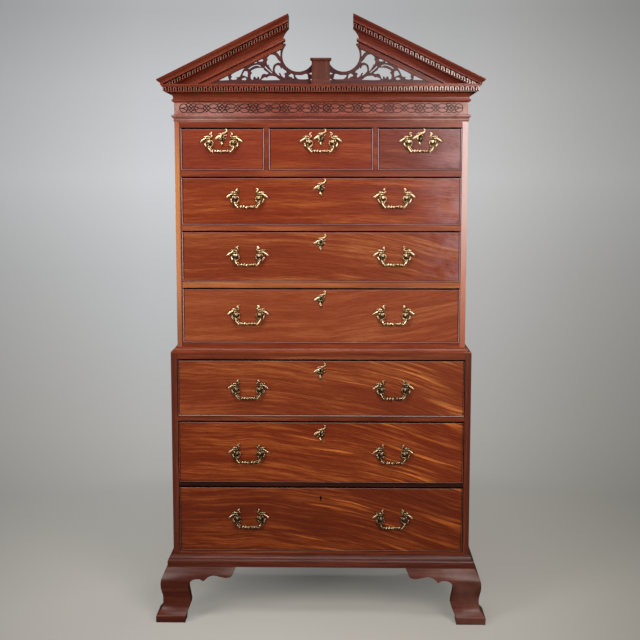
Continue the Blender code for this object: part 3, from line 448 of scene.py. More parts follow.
def rear_foot():
    profile = foot_profile()
    mesh = solid([[(LOWER_HALF + out, y, z) for out, z in profile]
                  for y in (CASE_BACK - FOOT_REACH, CASE_BACK)])
    mesh = cut(mesh, slab(bracket_outline(CASE_BACK, -1), LOWER_HALF - GLUE_BLOCK,
                          LOWER_HALF + 2 * TOE_FLARE, "x"))
    edge = FOOT_INNER - OVERRUN
    bracket = board((LOWER_HALF - FOOT_REACH, CASE_BACK - REAR_BRACKET, 0.0),
                    (LOWER_HALF - edge, CASE_BACK, FOOT_HEIGHT))
    bracket = cut(bracket, slab(bracket_outline(LOWER_HALF, -1), CASE_BACK - REAR_BRACKET - OVERRUN,
                                CASE_BACK + OVERRUN, "y"))
    mesh = fused(mesh, bracket)
    return fused(mesh, board((LOWER_HALF - GLUE_BLOCK, CASE_BACK - GLUE_BLOCK, GLUE_BLOCK_LIFT),
                             (LOWER_HALF - edge, CASE_BACK - REAR_BRACKET + OVERRUN, FOOT_HEIGHT)))


for place, foot in (("front", front_foot()), ("rear", rear_foot())):
    foot = finished(foot, ("BEVEL", {"width": FOOT_EDGE, "segments": 2, "limit_method": "ANGLE",
                                     "angle_limit": math.radians(50)}))
    for side, mesh in (("left", mirrored(foot)), ("right", foot)):
        node = "foot_%s_%s" % (place, side)
        show(node + "_shaped", mesh, foot_wood, "case", "mahogany_mouldings", node)


# Base moulding
# A mahogany moulding planed to an ovolo and a cove, mitred round the front corners and glued to the
# case. Its wide lower face runs level with the tops of the feet.

upper_low, upper_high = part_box("upper_side_right")
UPPER_HALF = upper_high.x
UPPER_FRONT = upper_low.y
MOULDING_BACK = 0.0003

# Each row is a run of points: how far out, against the moulding's projection, and how high
BASE_RUNS_SHARES = (
    ((1.0, 0.0), (1.0, 0.36)),
    ((1.0, 0.37), (0.985, 0.43), (0.93, 0.49), (0.84, 0.54), (0.72, 0.575), (0.64, 0.585)),
    ((0.64, 0.59), (0.62, 0.60), (0.62, 0.66)),
    ((0.60, 0.67), (0.50, 0.71), (0.40, 0.77), (0.32, 0.84), (0.28, 0.92)),
    ((0.27, 0.93), (0.18, 0.93), (0.18, 1.0)))


def run_points(runs, width, height, bottom):
    """Corner and curve points of a moulding in real sizes. Runs of four points or more are curves."""
    points = []
    for run in runs:
        line = smooth_line(run, 3) if len(run) > 3 else run
        points += [(out * width, bottom + up * height) for out, up in line]
    return points


def wrapped(outline, half, front):
    """A moulding of (projection, height) points round the front and both sides, mitred."""
    rings = []
    for side, at_front in ((-1, 0), (-1, 1), (1, 1), (1, 0)):
        rings.append([(side * (half + out), front - out if at_front else CASE_BACK, z)
                      for out, z in outline])
    return solid(rings)


base_wood = mahogany("polished mahogany of the base moulding", "#2A0E08", "#4E2115", "#74382A",
                     shift=(0.3, 0.0, 0.1), bands=0.5, flames=0.25, roughness=0.32, specular=0.38)
low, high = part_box("base_moulding")
BASE_LEDGE = 0.017
BASE_LEDGE_REACH = 0.070
outline = run_points(BASE_RUNS_SHARES, high.x - LOWER_HALF, high.z - low.z, low.z)
outline += [(MOULDING_BACK, high.z), (MOULDING_BACK, low.z + BASE_LEDGE),
            (-BASE_LEDGE_REACH, low.z + BASE_LEDGE), (-BASE_LEDGE_REACH, low.z)]
show("base_moulding_shaped", wrapped(outline, LOWER_HALF, LOWER_FRONT), base_wood, "case",
     "mahogany_mouldings", "base_moulding")


# Cases
# Two carcases of mahogany boards. The sides run upright and show their edges at the front, and the
# rails between the drawers are faced with lighter, orange mahogany. The backs are plain oak.

QUARTER_TURN = math.pi / 2
# How much of a side's front edge is light, from its outer side in, and its colours from foot to top:
# a lighter orange wood with a painted highlight on the left, and a painted sheen of the right lamp, nearly
# white, up the right
EDGES = {"left": (0.0165, ((0.0, "#8C5A40"), (0.10, "#96603F"), (0.30, "#C0845A"), (0.80, "#C4844F"),
                           (1.0, "#A2624C"))),
         "right": (0.0200, ((0.0, "#A35C42"), (0.25, "#BE8069"), (0.47, "#CDA092"), (0.62, "#D6B4AC"),
                            (1.0, "#D4BABB")))}
LOWER_EDGE_WIDTH = 0.0115    # of the lower sides' front edges
side_woods = {}
for side, (wide, stops) in EDGES.items():
    side_woods[side] = mahogany("polished mahogany of the upper %s side" % side,
                                "#3C140B", "#632816", "#8E4E2E", turn=(0.0, QUARTER_TURN, 0.0),
                                bands=0.4, flames=0.3, roughness=0.28,
                                front=(UPPER_FRONT, UPPER_HALF - wide, upper_low.z, upper_high.z, stops))
# The lower sides' front edges are a flat dark brown: a painted shade
low_side_wood = mahogany("polished mahogany of the lower sides", "#36140C", "#5C2718", "#87482C",
                         turn=(0.0, QUARTER_TURN, 0.0), bands=0.4, flames=0.3, roughness=0.30,
                         front=(LOWER_FRONT, LOWER_HALF - LOWER_EDGE_WIDTH, lower_low.z, lower_high.z,
                                ((0.0, "#4E2015"), (1.0, "#542418"))))
rail_wood = mahogany("red-brown mahogany of the rails", "#4A180A", "#732E17", "#98502C",
                     shift=(0.0, 0.0, 0.4), bands=0.5, flames=0.6, roughness=0.30)
light_rail_wood = mahogany("orange mahogany of the rails", "#6A2C16", "#96522F", "#BC7A46",
                           shift=(0.0, 0.0, 0.9), bands=0.6, flames=0.6, roughness=0.30)
middle_rail_wood = mahogany("brown mahogany of the rails", "#56200F", "#843E21", "#AC6238",
                            shift=(0.0, 0.0, 0.6), bands=0.6, flames=0.6, roughness=0.30)
low_rail_wood = mahogany("dark mahogany of the lower rails", "#3E1509", "#6A2D17", "#925430",
                         shift=(0.0, 0.0, 0.7), bands=0.5, flames=0.5, roughness=0.32)
# The rail between the two lowest drawers is painted nearly black: a painted shade
lowest_rail_wood = mahogany("mahogany of the lowest rail, painted dark as shade", "#180806", "#2C110A", "#4A2012",
                            shift=(0.0, 0.0, 1.2), bands=0.5, flames=0.3, roughness=0.36, specular=0.3)

# Plain oak: straight, pale brown, dull and unpolished, with open pores in short dark dashes. The grain
# runs along each board: from side to side, and from front to back on boards that face sideways. The
# pores of the real wood are 0.3 mm wide and are drawn 1.2 mm wide, so that they show.
OAK_BAND = 0.014
OAK_LENGTH = 0.500
OAK_PORE_WIDTH = 0.0012
OAK_PORE_LENGTH = 0.030
OAK_PORE_MOST = 0.55         # of the dark colour in a pore


def oak(name):
    material, tree, output = new_material(name)
    place = here(tree)
    parts = split(tree, place)
    deep = add_node(tree, "ShaderNodeCombineXYZ", inputs={"X": parts["Y"], "Y": parts["X"], "Z": parts["Z"]})
    faces = split(tree, add_node(tree, "ShaderNodeNewGeometry").outputs["True Normal"])["X"]
    sideways = maths(tree, "GREATER_THAN", maths(tree, "ABSOLUTE", faces), 0.7)
    along = add_node(tree, "ShaderNodeMix", {"data_type": "VECTOR"},
                     {0: sideways, 4: place, 5: deep.outputs["Vector"]}).outputs[1]
    bands = noise(tree, along, 1.0, 5.0, 0.6, (1 / OAK_LENGTH, 1 / OAK_BAND, 1 / OAK_BAND))
    pores = noise(tree, along, 1.0, 1.0, 0.6, (1 / OAK_PORE_LENGTH, 1 / OAK_PORE_WIDTH, 1 / OAK_PORE_WIDTH))
    wood = ramp(tree, bands, (0.25, "#946A48"), (0.50, "#AC8058"), (0.75, "#C2966A"))
    wood = blend(tree, ranged(tree, pores, 0.56, 0.70, 0.0, OAK_PORE_MOST), wood, linear("#5A4028"))
    surface(tree, output, Base_Color=wood, Roughness=0.62, Normal=bump(tree, bands, 0.25, 0.0008))
    return material


oak_wood = oak("plain oak")


def dress(names, material):
    """Gives carried-over nodes their wood."""
    for name in names:
        for place in frame["nodes"][name].material_slots:
            place.material = material


dress(("upper_side_left",), side_woods["left"])
dress(("upper_side_right",), side_woods["right"])
dress(("lower_side_left", "lower_side_right"), low_side_wood)
dress(("upper_rail_1", "upper_top_board", "upper_bottom_board"), rail_wood)
dress(("upper_rail_2",), middle_rail_wood)
dress(("upper_rail_3",), light_rail_wood)
dress(("lower_top_board", "lower_rail_1", "lower_bottom_board"), low_rail_wood)
dress(("lower_rail_2",), lowest_rail_wood)
dress(("upper_back_panel", "lower_back_panel"), oak_wood)


# Waist moulding
# A small cove moulding that covers the joint where the upper case stands on the lower one.

WAIST_RUNS_SHARES = (
    ((1.0, 0.0), (1.0, 0.16)),
    ((0.96, 0.17), (0.90, 0.17), (0.90, 0.21)),
    ((0.88, 0.22), (0.72, 0.30), (0.56, 0.42), (0.44, 0.57), (0.37, 0.76)),
    ((0.36, 0.77), (0.28, 0.77), (0.28, 1.0)))
waist_wood = mahogany("polished mahogany of the waist moulding", "#42150A", "#78331A", "#A25A34",
                      shift=(0.1, 0.0, 0.3), bands=0.5, flames=0.25, roughness=0.30)
low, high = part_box("waist_moulding")
outline = run_points(WAIST_RUNS_SHARES, high.x - UPPER_HALF, high.z - low.z, low.z)
outline += [(MOULDING_BACK, high.z), (MOULDING_BACK, low.z)]
show("waist_moulding_shaped", wrapped(outline, UPPER_HALF, UPPER_FRONT), waist_wood, "case",
     "mahogany_mouldings", "waist_moulding")


# Frieze
# A flat board over the top drawers with a small moulding at its foot. A blind fret is applied to it:
# thin strips of mahogany sawn to rosettes, forked straps and trellises, glued on a plain ground.

FRIEZE_BOARD = 0.020
FRIEZE_RUNS_SHARES = (
    ((0.10, 0.0), (0.10, 0.035)),
    ((0.12, 0.04), (0.28, 0.06), (0.34, 0.095), (0.28, 0.13), (0.14, 0.15)),
    ((0.15, 0.16), (0.30, 0.175), (0.55, 0.205), (0.80, 0.245), (0.92, 0.275)),
    ((0.94, 0.28), (1.0, 0.28), (1.0, 0.33)),
    ((0.97, 0.335), (0.70, 0.345), (0.35, 0.355), (0.10, 0.375)),
    ((0.0, 0.38), (0.0, 1.0)))
low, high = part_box("frieze")
frieze_low = low.z
frieze_height = high.z - low.z
outline = run_points(FRIEZE_RUNS_SHARES, high.x - UPPER_HALF, frieze_height, low.z)
outline += [(-FRIEZE_BOARD, high.z), (-FRIEZE_BOARD, low.z)]
# Its painted sheen lightens both ends of the frieze: a painted reflection of the lamps
frieze_wood = mahogany("polished mahogany of the frieze", "#471B18", "#7E4035", "#A66A5C",
                       shift=(0.3, 0.0, 0.6), bands=0.4, flames=0.2, roughness=0.26,
                       painted_sheen=(0.10, 0.50, 0.62, "#B48E86", 0.3, True))
show("frieze_shaped", wrapped(outline, UPPER_HALF, UPPER_FRONT), frieze_wood, "case",
     "mahogany_mouldings", "frieze")


def repeat_tree():
    """A tree that repeats the piece it is given along a straight line."""
    tree = bpy.data.node_groups.new("repeat along a line", "GeometryNodeTree")
    tree.interface.new_socket("Geometry", in_out="INPUT", socket_type="NodeSocketGeometry")
    tree.interface.new_socket("Count", in_out="INPUT", socket_type="NodeSocketInt")
    tree.interface.new_socket("Step", in_out="INPUT", socket_type="NodeSocketVector")
    tree.interface.new_socket("Material", in_out="INPUT", socket_type="NodeSocketMaterial")
    tree.interface.new_socket("Geometry", in_out="OUTPUT", socket_type="NodeSocketGeometry")
    given = add_node(tree, "NodeGroupInput").outputs
    line = add_node(tree, "GeometryNodeMeshLine", {"mode": "OFFSET"},
                    {"Count": given["Count"], "Offset": given["Step"]})
    copies = add_node(tree, "GeometryNodeInstanceOnPoints",
                      inputs={"Points": line.outputs["Mesh"], "Instance": given["Geometry"]})
    real = add_node(tree, "GeometryNodeRealizeInstances", inputs={"Geometry": copies.outputs["Instances"]})
    painted = add_node(tree, "GeometryNodeSetMaterial",
                       inputs={"Geometry": real.outputs["Geometry"], "Material": given["Material"]})
    add_node(tree, "NodeGroupOutput", inputs={"Geometry": painted.outputs["Geometry"]})
    return tree


REPEAT = repeat_tree()


def repeated(mesh, count, step, material):
    """The mesh repeated count times, each copy one step further on."""
    holder = bpy.data.objects.new("unit", mesh)
    bpy.context.collection.objects.link(holder)
    change = holder.modifiers.new("repeat", "NODES")
    change.node_group = REPEAT
    given = {"Count": count, "Step": step, "Material": material}
    for item in REPEAT.interface.items_tree:
        if item.in_out == "INPUT" and item.name in given:
            change[item.identifier] = given[item.name]
    bpy.context.view_layer.update()
    result = bpy.data.meshes.new_from_object(holder.evaluated_get(bpy.context.evaluated_depsgraph_get()))
    bpy.data.objects.remove(holder)
    return result


def strap(line, width, low_y, high_y, closed=False):
    """A flat strip with a slightly crowned face along a line of (x, z) points."""
    rings = []
    count = len(line)
    for index, (x, z) in enumerate(line):
        if closed:
            before, after = line[index - 1], line[(index + 1) % count]
        else:
            before, after = line[max(index - 1, 0)], line[min(index + 1, count - 1)]
        along = Vector((after[0] - before[0], after[1] - before[1])).normalized()
        across = Vector((-along.y, along.x)) * (width[index] if isinstance(width, list) else width) / 2
        ring = []
        for share, y in ((1.0, low_y), (1.0, high_y + 0.3 * (low_y - high_y)), (0.7, high_y),
                         (-0.7, high_y), (-1.0, high_y + 0.3 * (low_y - high_y)), (-1.0, low_y)):
            ring.append((x + across.x * share, y, z + across.y * share))
        rings.append(ring)
    return solid(rings, closed)


FRET_UNIT = 0.1099           # from one rosette to the next
FRET_CENTRE = 0.0190         # of the first rosette, from the middle of the case
FRET_END = 0.5070            # where the fret ends
STRAP_WIDTH = 0.0025
STRAP_PROUD = 0.0014
STRAP_STEPS = 24
BAND_MIDDLE_SHARE = 0.710    # of the frieze's height
ROSETTE_BOSS = 0.0019
ROSETTE_RIM = 0.0102

# Middle lines of the straps to the right of a rosette, in millimetres out from it and up from the
# band's middle. Each is repeated upside down.
LOOP_MM = ((13.6, 0), (13.9, 5.0), (17.0, 10.5), (21.5, 14.3), (29.0, 15.2), (37.0, 14.6), (43.6, 11.4),
           (49.4, 6.2), (55.0, 0))
FORK_MM = ((12.6, 8.4), (17.5, 5.6), (24.0, 2.0), (29.5, 0.2), (38.5, 0.2), (43.2, 2.2), (49.4, 6.4),
           (55.0, 12.8))
LOBE_MM = ((0.6, 12.6), (4.0, 15.4), (9.5, 16.4), (14.5, 14.8), (17.6, 11.0))
SPOKE_MM = ((2.9, 3.1), (8.6, 8.4))
END_LOOP_MM = ((13.6, 0), (13.9, 5.0), (17.0, 10.5), (21.5, 13.9), (28.5, 14.6), (35.5, 11.8), (39.6, 6.0),
               (41.0, 0))
END_FORK_MM = ((12.6, 8.4), (17.5, 5.6), (24.0, 2.0), (29.5, 0.2), (40.8, 0.2))
MIDDLE_MM = ((8.6, 8.4), (13.0, 13.0), (18.6, 14.6))
MIDDLE_FORK_MM = ((9.0, 5.4), (13.4, 3.6), (18.9, 0.2))
# The straps are near black: a painted shade that stands in for the shadow lines round the fret's pieces
strap_wood = mahogany("dark mahogany of the blind fret", "#1A0805", "#30120C", "#4E2820", bands=0.4,
                      flames=0.2, roughness=0.38, specular=0.28)


def fret_strap(points, level, plane, closed=False):
    """A strap of the blind fret, whose face stands a little off its neighbours'."""
    return strap(points, STRAP_WIDTH, plane + MOULDING_BACK, plane - STRAP_PROUD * (1 + level / 16), closed)


def fret_lines(start, side, lines, plane):
    """Straps along lines in millimetres from a rosette, on one side of it, above and below the middle."""
    meshes = []
    for index, line in enumerate(lines):
        for up in (-1, 1):
            points = smooth_line([(start + side * out / 1000, band_middle + up * high / 1000)
                                  for out, high in line], 3)
            meshes.append(fret_strap(points, 2 * index + (up + side * 0.4 + 1.4) / 2, plane))
    return meshes


def rosette(x, plane):
    """A boss in a round rim."""
    meshes = []
    for index, radius in enumerate((ROSETTE_BOSS, ROSETTE_RIM)):
        ring = [(x + radius * math.cos(math.tau * step / STRAP_STEPS),
                 band_middle + radius * math.sin(math.tau * step / STRAP_STEPS))
                for step in range(STRAP_STEPS)]
        meshes.append(fret_strap(ring, 9 + index, plane, closed=True))
    return meshes


band_middle = frieze_low + BAND_MIDDLE_SHARE * frieze_height
UNIT_LINES = (LOOP_MM, FORK_MM, LOBE_MM, SPOKE_MM)


def fret_unit(start, plane):
    """One unit: a rosette, and the straps that run from it to the next through a trellis."""
    return together(rosette(start, plane) + fret_lines(start, 1, UNIT_LINES, plane)
                    + fret_lines(start + FRET_UNIT, -1, UNIT_LINES, plane))


count = int((FRET_END - FRET_CENTRE) / FRET_UNIT)
last = FRET_CENTRE + count * FRET_UNIT
run = repeated(fret_unit(FRET_CENTRE, UPPER_FRONT), count, (FRET_UNIT, 0.0, 0.0), strap_wood)
outer_lines = (END_LOOP_MM, LOBE_MM, SPOKE_MM, END_FORK_MM)
middle_lines = (MIDDLE_MM, LOBE_MM[:3], SPOKE_MM, MIDDLE_FORK_MM)
ends = together(rosette(last, UPPER_FRONT) + fret_lines(last, 1, outer_lines, UPPER_FRONT)
                + fret_lines(FRET_CENTRE, -1, middle_lines, UPPER_FRONT))
half_band = together([run, ends])
show("frieze_blind_fret", together([half_band, mirrored(half_band)]), strap_wood, "case",
     "mahogany_mouldings")
side_count = int((CASE_BACK - UPPER_FRONT) / FRET_UNIT)
side_start = (UPPER_FRONT + CASE_BACK - side_count * FRET_UNIT) / 2
unit = fret_unit(side_start, 0.0)
for vert in unit.vertices:
    vert.co = Vector((UPPER_HALF - vert.co.y, vert.co.x, vert.co.z))
side_band = repeated(unit, side_count, (0.0, FRET_UNIT, 0.0), strap_wood)
show("frieze_blind_fret_right", side_band, strap_wood, "case", "mahogany_mouldings")
show("frieze_blind_fret_left", mirrored(side_band), strap_wood, "case", "mahogany_mouldings")


# Level cornice
# A built-up mahogany cornice: a small round, a deep cove, a row of slotted dentils under a fascia, and
# a deck board behind that closes the top of the case. The dentils are cut singly and glued on.

CORNICE_RUNS_SHARES = (
    ((0.0, 0.0), (0.03, 0.02)),
    ((0.04, 0.03), (0.13, 0.05), (0.19, 0.10), (0.19, 0.15), (0.12, 0.19), (0.07, 0.20)),
    ((0.07, 0.21), (0.07, 0.30)),
    ((0.08, 0.31), (0.12, 0.39), (0.20, 0.46), (0.33, 0.52), (0.50, 0.555), (0.62, 0.565)),
    ((0.63, 0.57), (0.675, 0.575), (0.675, 0.86)),
    ((0.915, 0.865), (0.915, 0.93)),
    ((0.93, 0.935), (1.0, 0.945), (1.0, 1.0)))
DENTIL_FACE_SHARE = 0.675
DENTIL_TOP_SHARE = 0.86
DENTIL_PITCH = 0.0180
DENTIL_WIDTH = 0.0126
DENTIL_HEIGHT = 0.0140
DENTIL_PROUD = 0.0062
DENTIL_SLOT = 0.0048
DENTIL_SLOT_HEIGHT = 0.0108
DENTIL_EDGE = 0.0005
CORNICE_DECK = 0.010
CORNICE_DECK_SINK = 0.010

low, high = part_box("cornice")
cornice_low, cornice_top = low.z, high.z
CORNICE_PROJECTION = high.x - UPPER_HALF
cornice_height = cornice_top - cornice_low
outline = run_points(CORNICE_RUNS_SHARES, CORNICE_PROJECTION, cornice_height, cornice_low)
outline += [(-FRIEZE_BOARD, cornice_top), (-FRIEZE_BOARD, cornice_low)]
cornice = wrapped(outline, UPPER_HALF, UPPER_FRONT)
deck_top = cornice_top - CORNICE_DECK_SINK
reach = UPPER_HALF - FRIEZE_BOARD + OVERRUN
deck = board((-reach, UPPER_FRONT + FRIEZE_BOARD - OVERRUN, deck_top - CORNICE_DECK),
             (reach, CASE_BACK, deck_top))
cornice_wood = mahogany("polished mahogany of the cornice", "#40140D", "#78331F", "#A25A3C",
                        shift=(0.7, 0.0, 0.1), bands=0.5, flames=0.25, roughness=0.28)
show("cornice_shaped", fused(cornice, deck), cornice_wood, "case", "mahogany_mouldings", "cornice")


def dentil(top, slope=0.0):
    """One dentil round x and y of zero, slotted from below, its top and foot leaning by slope."""
    half = DENTIL_WIDTH / 2
    slot = DENTIL_SLOT / 2
    foot = top - DENTIL_HEIGHT
    head = foot + DENTIL_SLOT_HEIGHT
    points = ((-half, foot), (-slot, foot), (-slot, head), (slot, head), (slot, foot), (half, foot),
              (half, top), (-half, top))
    points = [(x, z + slope * x) for x, z in points]
    mesh = slab(points, -DENTIL_PROUD, OVERRUN, "y")
    return finished(mesh, ("BEVEL", {"width": DENTIL_EDGE, "segments": 1, "limit_method": "ANGLE"}))


def placed(mesh, x, y, z=0.0, turned=False):
    """A copy of the mesh moved by x, y and z, turned to face the right side if asked."""
    copy = mesh.copy()
    for vert in copy.vertices:
        if turned:
            vert.co = Vector((-vert.co.y, vert.co.x, vert.co.z))
        vert.co += Vector((x, y, z))
    return copy


# Its painted sheen lights the dentils on the right nearly pink-white: a painted reflection of the right lamp
dentil_wood = mahogany("pale mahogany of the dentils", "#542A20", "#8A5446", "#AE7E70", bands=0.3, flames=0.1,
                       roughness=0.26, painted_sheen=(0.10, 0.50, 0.95, "#E8CDC6", 0.5, False))
# The ground between the dentils: a thin sheet of the same wood, painted nearly black as the shade in the
# recess behind them, and dull.
shade_wood = mahogany("painted shade between the dentils", "#120504", "#1E0A07", "#2E130D", bands=0.3,
                      flames=0.0, roughness=0.70, specular=0.1)
dentil_face = DENTIL_FACE_SHARE * CORNICE_PROJECTION
dentil_top = cornice_low + DENTIL_TOP_SHARE * cornice_height
tooth = dentil(dentil_top)
corner = dentil_face + DENTIL_PROUD - DENTIL_WIDTH / 2
length = 2 * (UPPER_HALF + corner)
count = round(length / DENTIL_PITCH)
step = length / count
row = repeated(placed(tooth, -length / 2, UPPER_FRONT - dentil_face), count + 1, (step, 0.0, 0.0),
               dentil_wood)
show("cornice_dentils_front", row, dentil_wood, "case", "mahogany_mouldings")
length = CASE_BACK - UPPER_FRONT + corner - DENTIL_WIDTH
count = round(length / DENTIL_PITCH)
step = length / count
row = repeated(placed(tooth, UPPER_HALF + dentil_face, UPPER_FRONT - corner + step, turned=True),
               count, (0.0, step, 0.0), cornice_wood)
show("cornice_dentils_right", row, cornice_wood, "case", "mahogany_mouldings")
show("cornice_dentils_left", mirrored(row), cornice_wood, "case", "mahogany_mouldings")
# A thin sheet of painted shade behind the row of dentils
dentil_foot = dentil_top - DENTIL_HEIGHT
outline = [(dentil_face - OVERRUN, dentil_foot), (dentil_face + MOULDING_BACK, dentil_foot),
           (dentil_face + MOULDING_BACK, dentil_top), (dentil_face - OVERRUN, dentil_top)]
show("cornice_dentil_painted_shade", wrapped(outline, UPPER_HALF, UPPER_FRONT), shade_wood, "case",
     "mahogany_mouldings")


# Raking cornices
# Two sloping lengths of cornice that stop short of the middle, with a bold top moulding, a row of
# dentils and a cove. At the corners the top moulding turns and runs back along the sides.

RAKE_RUNS_SHARES = (
    ((1.0, 0.0), (1.0, 0.018)),
    ((0.99, 0.022), (0.975, 0.045), (0.94, 0.080), (0.88, 0.115), (0.83, 0.145), (0.79, 0.175),
     (0.775, 0.195)),
    ((0.76, 0.200), (0.80, 0.208), (0.81, 0.228), (0.79, 0.248)),
    ((0.70, 0.252), (0.56, 0.256), (0.47, 0.260)),
    ((0.47, 0.262), (0.47, 0.430)),
    ((0.45, 0.435), (0.36, 0.455), (0.26, 0.495), (0.17, 0.550), (0.10, 0.620), (0.075, 0.690)),
    ((0.08, 0.70), (0.17, 0.715), (0.20, 0.745), (0.20, 0.785), (0.16, 0.805), (0.09, 0.815)),
    ((0.03, 0.825), (0.03, 0.855), (0.07, 0.860)),
    ((0.07, 0.862), (0.07, 1.0)))
RAKE_SLOPE = 0.4833          # rise over run
RAKE_DEPTH = 0.1013          # straight down from the top edge
RAKE_BACK = 0.020
RAKE_END_X = 0.1377
RAKE_END_REACH = 0.0250      # the ends turn back, and reach this far in at most
RAKE_END_RETURN_SHARE = 1.15 # of what the moulding stands out in front
RAKE_END_STUB = 0.004
RAKE_DENTIL_FACE_SHARE = 0.47
RAKE_DENTIL_TOP_SHARE = 0.27
RETURN_LIP = 0.0005

low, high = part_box("raking_cornice_right")
TIP_X = high.x
TIP_PROJECTION = TIP_X - UPPER_HALF
rake_foot = low.z
TIP_Z = high.z - RAKE_SLOPE * (TIP_X - low.x)


def rake_top(x):
    """Height of the sloping top edge at a distance from the middle."""
    return TIP_Z + (TIP_X - x) * RAKE_SLOPE


def rake_end(out):
    """How far from the middle the returned end lies, where the moulding stands out by so much."""
    return RAKE_END_X - min(RAKE_END_RETURN_SHARE * out, RAKE_END_REACH)


def rake_rings(outline, back):
    """Rings of the right rake: its returned end, the run up to the corner, and back along the side."""
    rings = [[], [], [], []]
    for out, down in outline:
        end_x = rake_end(out)
        mitre_x = UPPER_HALF + out
        rings[0].append((end_x, UPPER_FRONT + RAKE_BACK + RAKE_END_STUB, rake_top(end_x) - down))
        rings[1].append((end_x, UPPER_FRONT - out, rake_top(end_x) - down))
        rings[2].append((mitre_x, UPPER_FRONT - out, rake_top(mitre_x) - down))
        rings[3].append((mitre_x, back, rake_top(mitre_x) - down))
    return rings


outline = run_points(RAKE_RUNS_SHARES, TIP_PROJECTION, RAKE_DEPTH, 0.0)
outline += [(-RAKE_BACK, RAKE_DEPTH), (-RAKE_BACK, 0.0)]
rake = solid(rake_rings(outline, CASE_BACK))
rake = cut(rake, board((0.0, UPPER_FRONT - 2 * TIP_PROJECTION, rake_foot - 2 * RAKE_DEPTH),
                       (TIP_X + OVERRUN, CASE_BACK + OVERRUN, rake_foot)))
rake = cut(rake, board((UPPER_HALF - RAKE_BACK - OVERRUN, UPPER_FRONT + RAKE_BACK + OVERRUN,
                        TIP_Z + RETURN_LIP),
                       (TIP_X + OVERRUN, CASE_BACK + OVERRUN, TIP_Z + RAKE_DEPTH)))
slope_angle = math.atan(RAKE_SLOPE)
rake_woods = {"left": mahogany("mahogany of the left rake", "#360F0A", "#68291A", "#964D33",
                               turn=(0.0, slope_angle, 0.0), bands=0.4, flames=0.3, roughness=0.28),
              "right": mahogany("mahogany of the right rake", "#320F0B", "#60261C", "#8C4432",
                                turn=(0.0, -slope_angle, 0.0), bands=0.4, flames=0.3, roughness=0.28)}
rake_face = RAKE_DENTIL_FACE_SHARE * TIP_PROJECTION
rake_dentil_drop = RAKE_DENTIL_TOP_SHARE * RAKE_DEPTH
first = rake_end(rake_face) + DENTIL_WIDTH / 2
last = TIP_X + (TIP_Z - rake_foot - rake_dentil_drop - DENTIL_HEIGHT) / RAKE_SLOPE + DENTIL_PITCH
count = int((last - first) // DENTIL_PITCH) + 1
sloped = placed(dentil(rake_top(first) - rake_dentil_drop, -RAKE_SLOPE), first, UPPER_FRONT - rake_face)
row = repeated(sloped, count, (DENTIL_PITCH, 0.0, -RAKE_SLOPE * DENTIL_PITCH), dentil_wood)
# Thin sheets of painted shade behind the rakes' dentils
shade_sheet = []
inner_y = UPPER_FRONT - rake_face + OVERRUN
outer_y = UPPER_FRONT - rake_face - MOULDING_BACK
for x in (rake_end(rake_face) + MOULDING_BACK, last):
    top = rake_top(x) - rake_dentil_drop
    foot = top - DENTIL_HEIGHT
    shade_sheet.append([(x, inner_y, top), (x, outer_y, top), (x, outer_y, foot), (x, inner_y, foot)])
shade_sheet = solid(shade_sheet)
for side, mesh, teeth, behind in (("left", mirrored(rake), mirrored(row), mirrored(shade_sheet)),
                                  ("right", rake, row, shade_sheet)):
    show("raking_cornice_%s_shaped" % side, mesh, rake_woods[side], "case", "mahogany_mouldings",
         "raking_cornice_" + side)
    show("raking_dentils_" + side, teeth, dentil_wood, "case", "mahogany_mouldings")
    show("raking_dentil_painted_shade_" + side, behind, shade_wood, "case", "mahogany_mouldings")


# Pierced fret
# A thin mahogany board under the raking cornices, sawn with seventeen openings on each side that leave
# leafy scrolls. A round dip on each side of the plinth has a plain rim. All edges are softened by hand.

FRET_THICKNESS = 0.012
FRET_TIP_HEIGHT = 0.006
FRET_EDGE = 0.0006
SCOOP_RADIUS = 0.0565
SCOOP_X = 0.0795
SCOOP_Z = 0.1015
SCOOP_HOOK = 0.70            # how far the dip's edge runs past its widest point, in radians
SCOOP_STEPS = 44
HOOK_TOP_SHARE = 0.83        # of the rake's depth, where the hook ends under it
PLINTH_HALF = 0.0315

